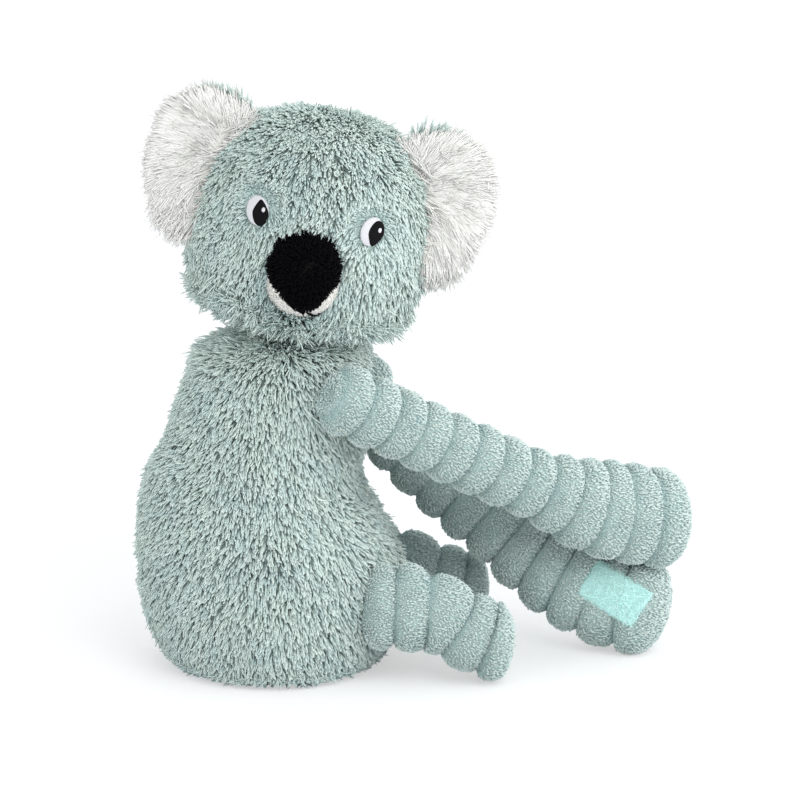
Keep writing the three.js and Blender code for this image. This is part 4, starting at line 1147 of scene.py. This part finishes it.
def limb_rows(limb, start, end):
    """Rows as (along, radius) for a stretch of limb, closed at both ends.

    Where a stretch starts or ends inside the limb, it is closed by a flat round with a soft edge.
    """
    rows = []
    first = -limb.cap if start is None else start
    last = limb.length if end is None else end
    steps = int((last - first) / (limb.pitch / 12))
    inner = [first + (last - first) * k / steps for k in range(steps + 1)]
    if start is not None:
        edge = limb.ribbed(first)
        rows += [(first - 1.2, 0), (first - 0.8, edge * 0.6), (first - 0.1, edge * 0.98)]
    else:
        inner[1:1] = [first + 0.05, first + 0.3]
    rows += [(along, limb.ribbed(along)) for along in inner]
    if end is not None:
        edge = limb.ribbed(last)
        rows += [(last - 0.3, edge * 0.98), (last - 1.2, edge * 0.6), (last - 1.7, 0)]
    else:
        rows[-1:-1] = [(last - back, limb.ribbed(last - back)) for back in (0.3, 0.06)]
    return rows


def patch_frame(limb):
    middle, forward, palm = limb.frame(PATCH_MIDDLE)[:3]
    forward = Matrix.Rotation(limb.inwards * PATCH_TURN, 3, palm) @ forward
    side = palm.cross(forward)
    return middle + palm * PATCH_REACH, forward, side, palm


def pressed(limb, spot):
    """Under the palm patch the ribs are held flat."""
    if "arm" not in limb.name:
        return spot
    middle, forward, side, palm = patch_frame(limb)
    away = spot - middle
    x, y, z = away.dot(forward), away.dot(side), away.dot(palm)
    share = (1 - ease(PATCH_LENGTH / 2 - 1, PATCH_LENGTH / 2 + 1.5, abs(x))) * (
        1 - ease(PATCH_WIDTH / 2 - 1, PATCH_WIDTH / 2 + 1.5, abs(y)))
    if z > -0.3 and share > 0:
        return spot + palm * (-0.3 - z) * share
    return spot


def add_limb_cloth(limb, name, start, end):
    rows = limb_rows(limb, start, end)

    def spot_of(turn, row):
        along, radius = rows[round(row * (len(rows) - 1))]
        middle, _, palm, broad = limb.frame(along)
        thin = 1 - (1 - limb.thick) * limb.swell(along)
        angle = turn * math.tau
        way = palm * (thin * math.cos(angle)) + broad * math.sin(angle)
        spot = middle + way * radius
        if radius > 0:
            spot += way.normalized() * lumps(spot, 9, 0.5)
        if "leg" in limb.name and radius > 0:
            spot += (
                UP * LEG_ROOT_FULLNESS * max(way.normalized().z, 0) ** 2 * (1 - ease(2, 26, along))
                * radius / limb.radius
            )
        spot = pressed(limb, spot)
        spot.z = max(spot.z, 0.3)
        return spot

    def along_limb(spot, out_way):
        return limb.nearest(spot)[0][1]

    def outside(spot, out_way):
        """Nothing grows inside the stretch before and under the palm's patch."""
        if start is not None:
            middle, forward = limb.frame(start)[:2]
            if (spot - middle).dot(forward) < -0.2:
                return 0.0
        if "arm" in limb.name:
            middle, forward, side, palm = patch_frame(limb)
            away = spot - middle
            if (abs(away.dot(forward)) < PATCH_LENGTH / 2 and abs(away.dot(side)) < PATCH_WIDTH / 2
                    and away.dot(palm) > -3):
                return 0.0
        return 1.0

    def shorter_in_seams(spot, out_way):
        along = limb.nearest(spot)[1]
        if along > limb.groove(limb.ribs):
            return 1.0
        return 0.5 + 0.5 * ease(0, 0.22, limb.from_seam(along))

    # Painted shade: the pile darkens towards each seam between the ribs.
    def painted_shade_in_seams(spot, out_way):
        along = limb.nearest(spot)[1]
        if along > limb.groove(limb.ribs) + limb.pitch / 2:
            return 0.0
        return 0.9 * (1 - ease(0, 0.17, limb.from_seam(along)))

    skin = rolled(name, 48, len(rows) - 1, spot_of, RIB_CLOTH)
    combed(skin, along_limb, outside, shorter_in_seams, painted_shade_in_seams)
    return skin


def add_arm(name):
    """Two stretches of sleeve, each reaching across the joint inside it."""
    limb = LIMBS[f"{name}_arm"]
    middle_cut = limb.groove(FOREARM_MIDDLE)
    stretches = [
        ("upper", None, middle_cut, ELBOW, "upper_arm", "forearm", ["upper_arm", "forearm"]),
        ("lower", middle_cut, None, WRIST, "forearm", "hand", ["hand"]),
    ]
    for part, start, end, joint, first, second, sleeves in stretches:
        skin = add_limb_cloth(limb, f"{name}_arm_{part}_cloth", start, end)
        coat = grow(f"{name}_arm_{part}_pile", skin, "grain", GRAIN_PER_CM2, floor=True)
        hinge = limb.groove(joint)
        spots = [limb.frame(hinge + side * limb.pitch * 0.6)[0] * MM for side in (-1, 1)]
        for piece in (skin, coat):
            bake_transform(piece)
        replaced = [f"{name}_{sleeve}{inner}" for sleeve in sleeves for inner in ("", "_filling")]
        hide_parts(*replaced)


def add_leg(name):
    limb = LIMBS[f"{name}_leg"]
    skin = add_limb_cloth(limb, f"{name}_leg_cloth", None, None)
    coat = grow(f"{name}_leg_pile", skin, "grain", GRAIN_PER_CM2, floor=True)
    dress([skin, coat], f"{name}_leg", [f"{name}_leg", f"{name}_leg_filling"])


def add_seam(name, limb, body, node_name):
    """The round of stitches under a limb's root, seen only when the pile is parted."""
    towards = Vector((-limb.root.x, -limb.root.y, 0)).normalized()
    turn_to = UP.rotation_difference(towards)

    def spot_of(turn, row):
        angle = turn * math.tau
        share = row / 0.5 if row <= 0.5 else (1 - row) / 0.5
        lean = SEAM_REACH * share
        radius = limb.radius + (SEAM_INSIDE if row <= 0.5 else SEAM_OUTSIDE)
        local = Vector((math.sin(lean) * math.cos(angle), math.sin(lean) * math.sin(angle), math.cos(lean)))
        return limb.root + turn_to @ local * radius

    dress([rolled(name, 40, 16, spot_of, SEAM_THREAD)], body, [node_name])


# Palm patches
TAPE_THICK, TAPE_EDGE_DROP, TAPE_BOW = 1.4, 0.5, 0.9


def unit_plate(columns, rows):
    """A closed plate one by one, its under side at height 0 and its top at height 1.

    Its points are placed one by one, so that their order and the tufts on it are the same each run.
    """
    bm = bmesh.new()
    points = {
        (i, j, top): bm.verts.new((i / columns - 0.5, j / rows - 0.5, top))
        for top in (0, 1) for j in range(rows + 1) for i in range(columns + 1)
    }

    def quad(*corners):
        bm.faces.new([points[corner] for corner in corners])

    for i in range(columns):
        for j in range(rows):
            for top in (0, 1):
                quad((i, j, top), (i + 1, j, top), (i + 1, j + 1, top), (i, j + 1, top))
        for j in (0, rows):
            quad((i, j, 0), (i + 1, j, 0), (i + 1, j, 1), (i, j, 1))
    for j in range(rows):
        for i in (0, columns):
            quad((i, j, 0), (i, j + 1, 0), (i, j + 1, 1), (i, j, 1))
    bmesh.ops.recalc_face_normals(bm, faces=bm.faces)
    return bm


def add_patch(name, limb, body, material, kind, per_cm2):
    """A plate of tape sewn on the palm, with its loops or hooks standing on it."""
    middle, forward, side, palm = patch_frame(limb)
    bm = unit_plate(30, 20)
    for v in bm.verts:
        x, y, top = v.co.x, v.co.y, v.co.z > 0.5
        edge = max(ease(0.44, 0.5, abs(x)), ease(0.42, 0.5, abs(y)))
        corner_pull = 1 - 0.05 * ease(0.4, 0.5, abs(x)) * ease(0.4, 0.5, abs(y))
        # The tape is drawn in a little at its corners, frayed along its edges and bowed over the palm.
        spot = Vector((x * PATCH_LENGTH * corner_pull, y * PATCH_WIDTH * corner_pull, 0))
        spot *= 1 + lumps(spot, 3, 0.02)
        bow = lumps(spot, 8, 0.35) - TAPE_BOW * (2 * y) ** 2
        height = bow + ((TAPE_THICK - TAPE_EDGE_DROP * edge) if top else 0)
        v.co = (middle + forward * spot.x + side * spot.y + palm * height) * MM
    plate = mesh_object(f"{name}_tape", bm, material)
    combed(plate, lambda spot, way: forward, lambda spot, way: 1.0 if way.dot(palm) > -0.2 else 0.0)
    stand = grow(f"{name}_{kind}s", plate, kind, per_cm2)
    dress([plate, stand], body, [name])


# Stage
FLOOR_HALF_SIZE = 6
LAMP_AIM = Vector((0, -0.05, 0.12))
# Name, turn and lift in degrees, distance and size in metres, power in watts.
LAMPS = [
    ("key_lamp", -70, 42, 1.7, 1.2, 12.5),
    ("front_lamp", -14, 10, 1.8, 1.4, 15),
    ("fill_lamp", -140, 25, 1.8, 1.2, 5),
    ("back_lamp", 90, 45, 1.8, 1.2, 4),
]


def add_floor():
    bm = bmesh.new()
    bmesh.ops.create_grid(bm, x_segments=1, y_segments=1, size=FLOOR_HALF_SIZE)
    made, tree, shader = blank_material("pale_floor", 0.9, 0, 0.1)
    shader.inputs["Base Color"].default_value = (0.93, 0.935, 0.94, 1)
    glow = node(tree, "ShaderNodeEmission", {"Color": (1, 1, 1, 1), "Strength": 1.0})
    half_seen = arithmetic(tree, "MULTIPLY", seen_directly(tree), 0.5)
    mixed = node(tree, "ShaderNodeMixShader", {0: half_seen, 1: out(shader), 2: out(glow)})
    tree.links.new(out(mixed), tree.nodes["Material Output"].inputs["Surface"])
    mesh_object("floor", bm, made, smooth=False)


def add_world():
    world = bpy.data.worlds.new("studio")
    bpy.context.scene.world = world
    world.use_nodes = True
    tree = world.node_tree
    tree.nodes.clear()
    soft = node(tree, "ShaderNodeBackground", {"Color": (0.94, 0.975, 1, 1), "Strength": 0.9})
    white = node(tree, "ShaderNodeBackground", {"Color": (1, 1, 1, 1), "Strength": 1.0})
    mixed = node(tree, "ShaderNodeMixShader", {0: seen_directly(tree), 1: out(soft), 2: out(white)})
    end = node(tree, "ShaderNodeOutputWorld")
    tree.links.new(out(mixed), end.inputs["Surface"])


def add_lamps():
    for name, turn, lift, distance, size, power in LAMPS:
        lamp = bpy.data.lights.new(name, "AREA")
        lamp.shape, lamp.size, lamp.energy = "DISK", size, power
        holder = new_object(name, lamp)
        way = look_from(math.radians(turn), math.radians(lift))
        holder.location = LAMP_AIM + way * distance
        holder.rotation_euler = (-way).to_track_quat("-Z", "Y").to_euler()


add_torso()
add_neck()
add_head()
add_eyes()
add_muzzle()
for hand_name, hand_sign in HANDS:
    add_ear(hand_name, hand_sign)
    add_arm(hand_name)
    add_leg(hand_name)
    add_seam(
        f"{hand_name}_hip_stitches", LIMBS[f"{hand_name}_leg"], f"{hand_name}_hip", f"{hand_name}_hip_seam"
    )
add_seam("left_shoulder_stitches", LIMBS["left_arm"], "torso", "left_shoulder_seam")
add_seam("right_shoulder_stitches", LIMBS["right_arm"], "right_shoulder", "right_shoulder_seam")
add_patch("loop_patch", LIMBS["left_arm"], "left_hand", LOOP_TAPE, "loop", 420)
add_patch("hook_patch", LIMBS["right_arm"], "right_hand", HOOK_TAPE, "hook", 240)
for tuft_sample, _ in TUFTS.values():
    bpy.data.objects.remove(tuft_sample)
add_floor()
add_world()
add_lamps()
bpy.context.scene.view_settings.view_transform = "Standard"
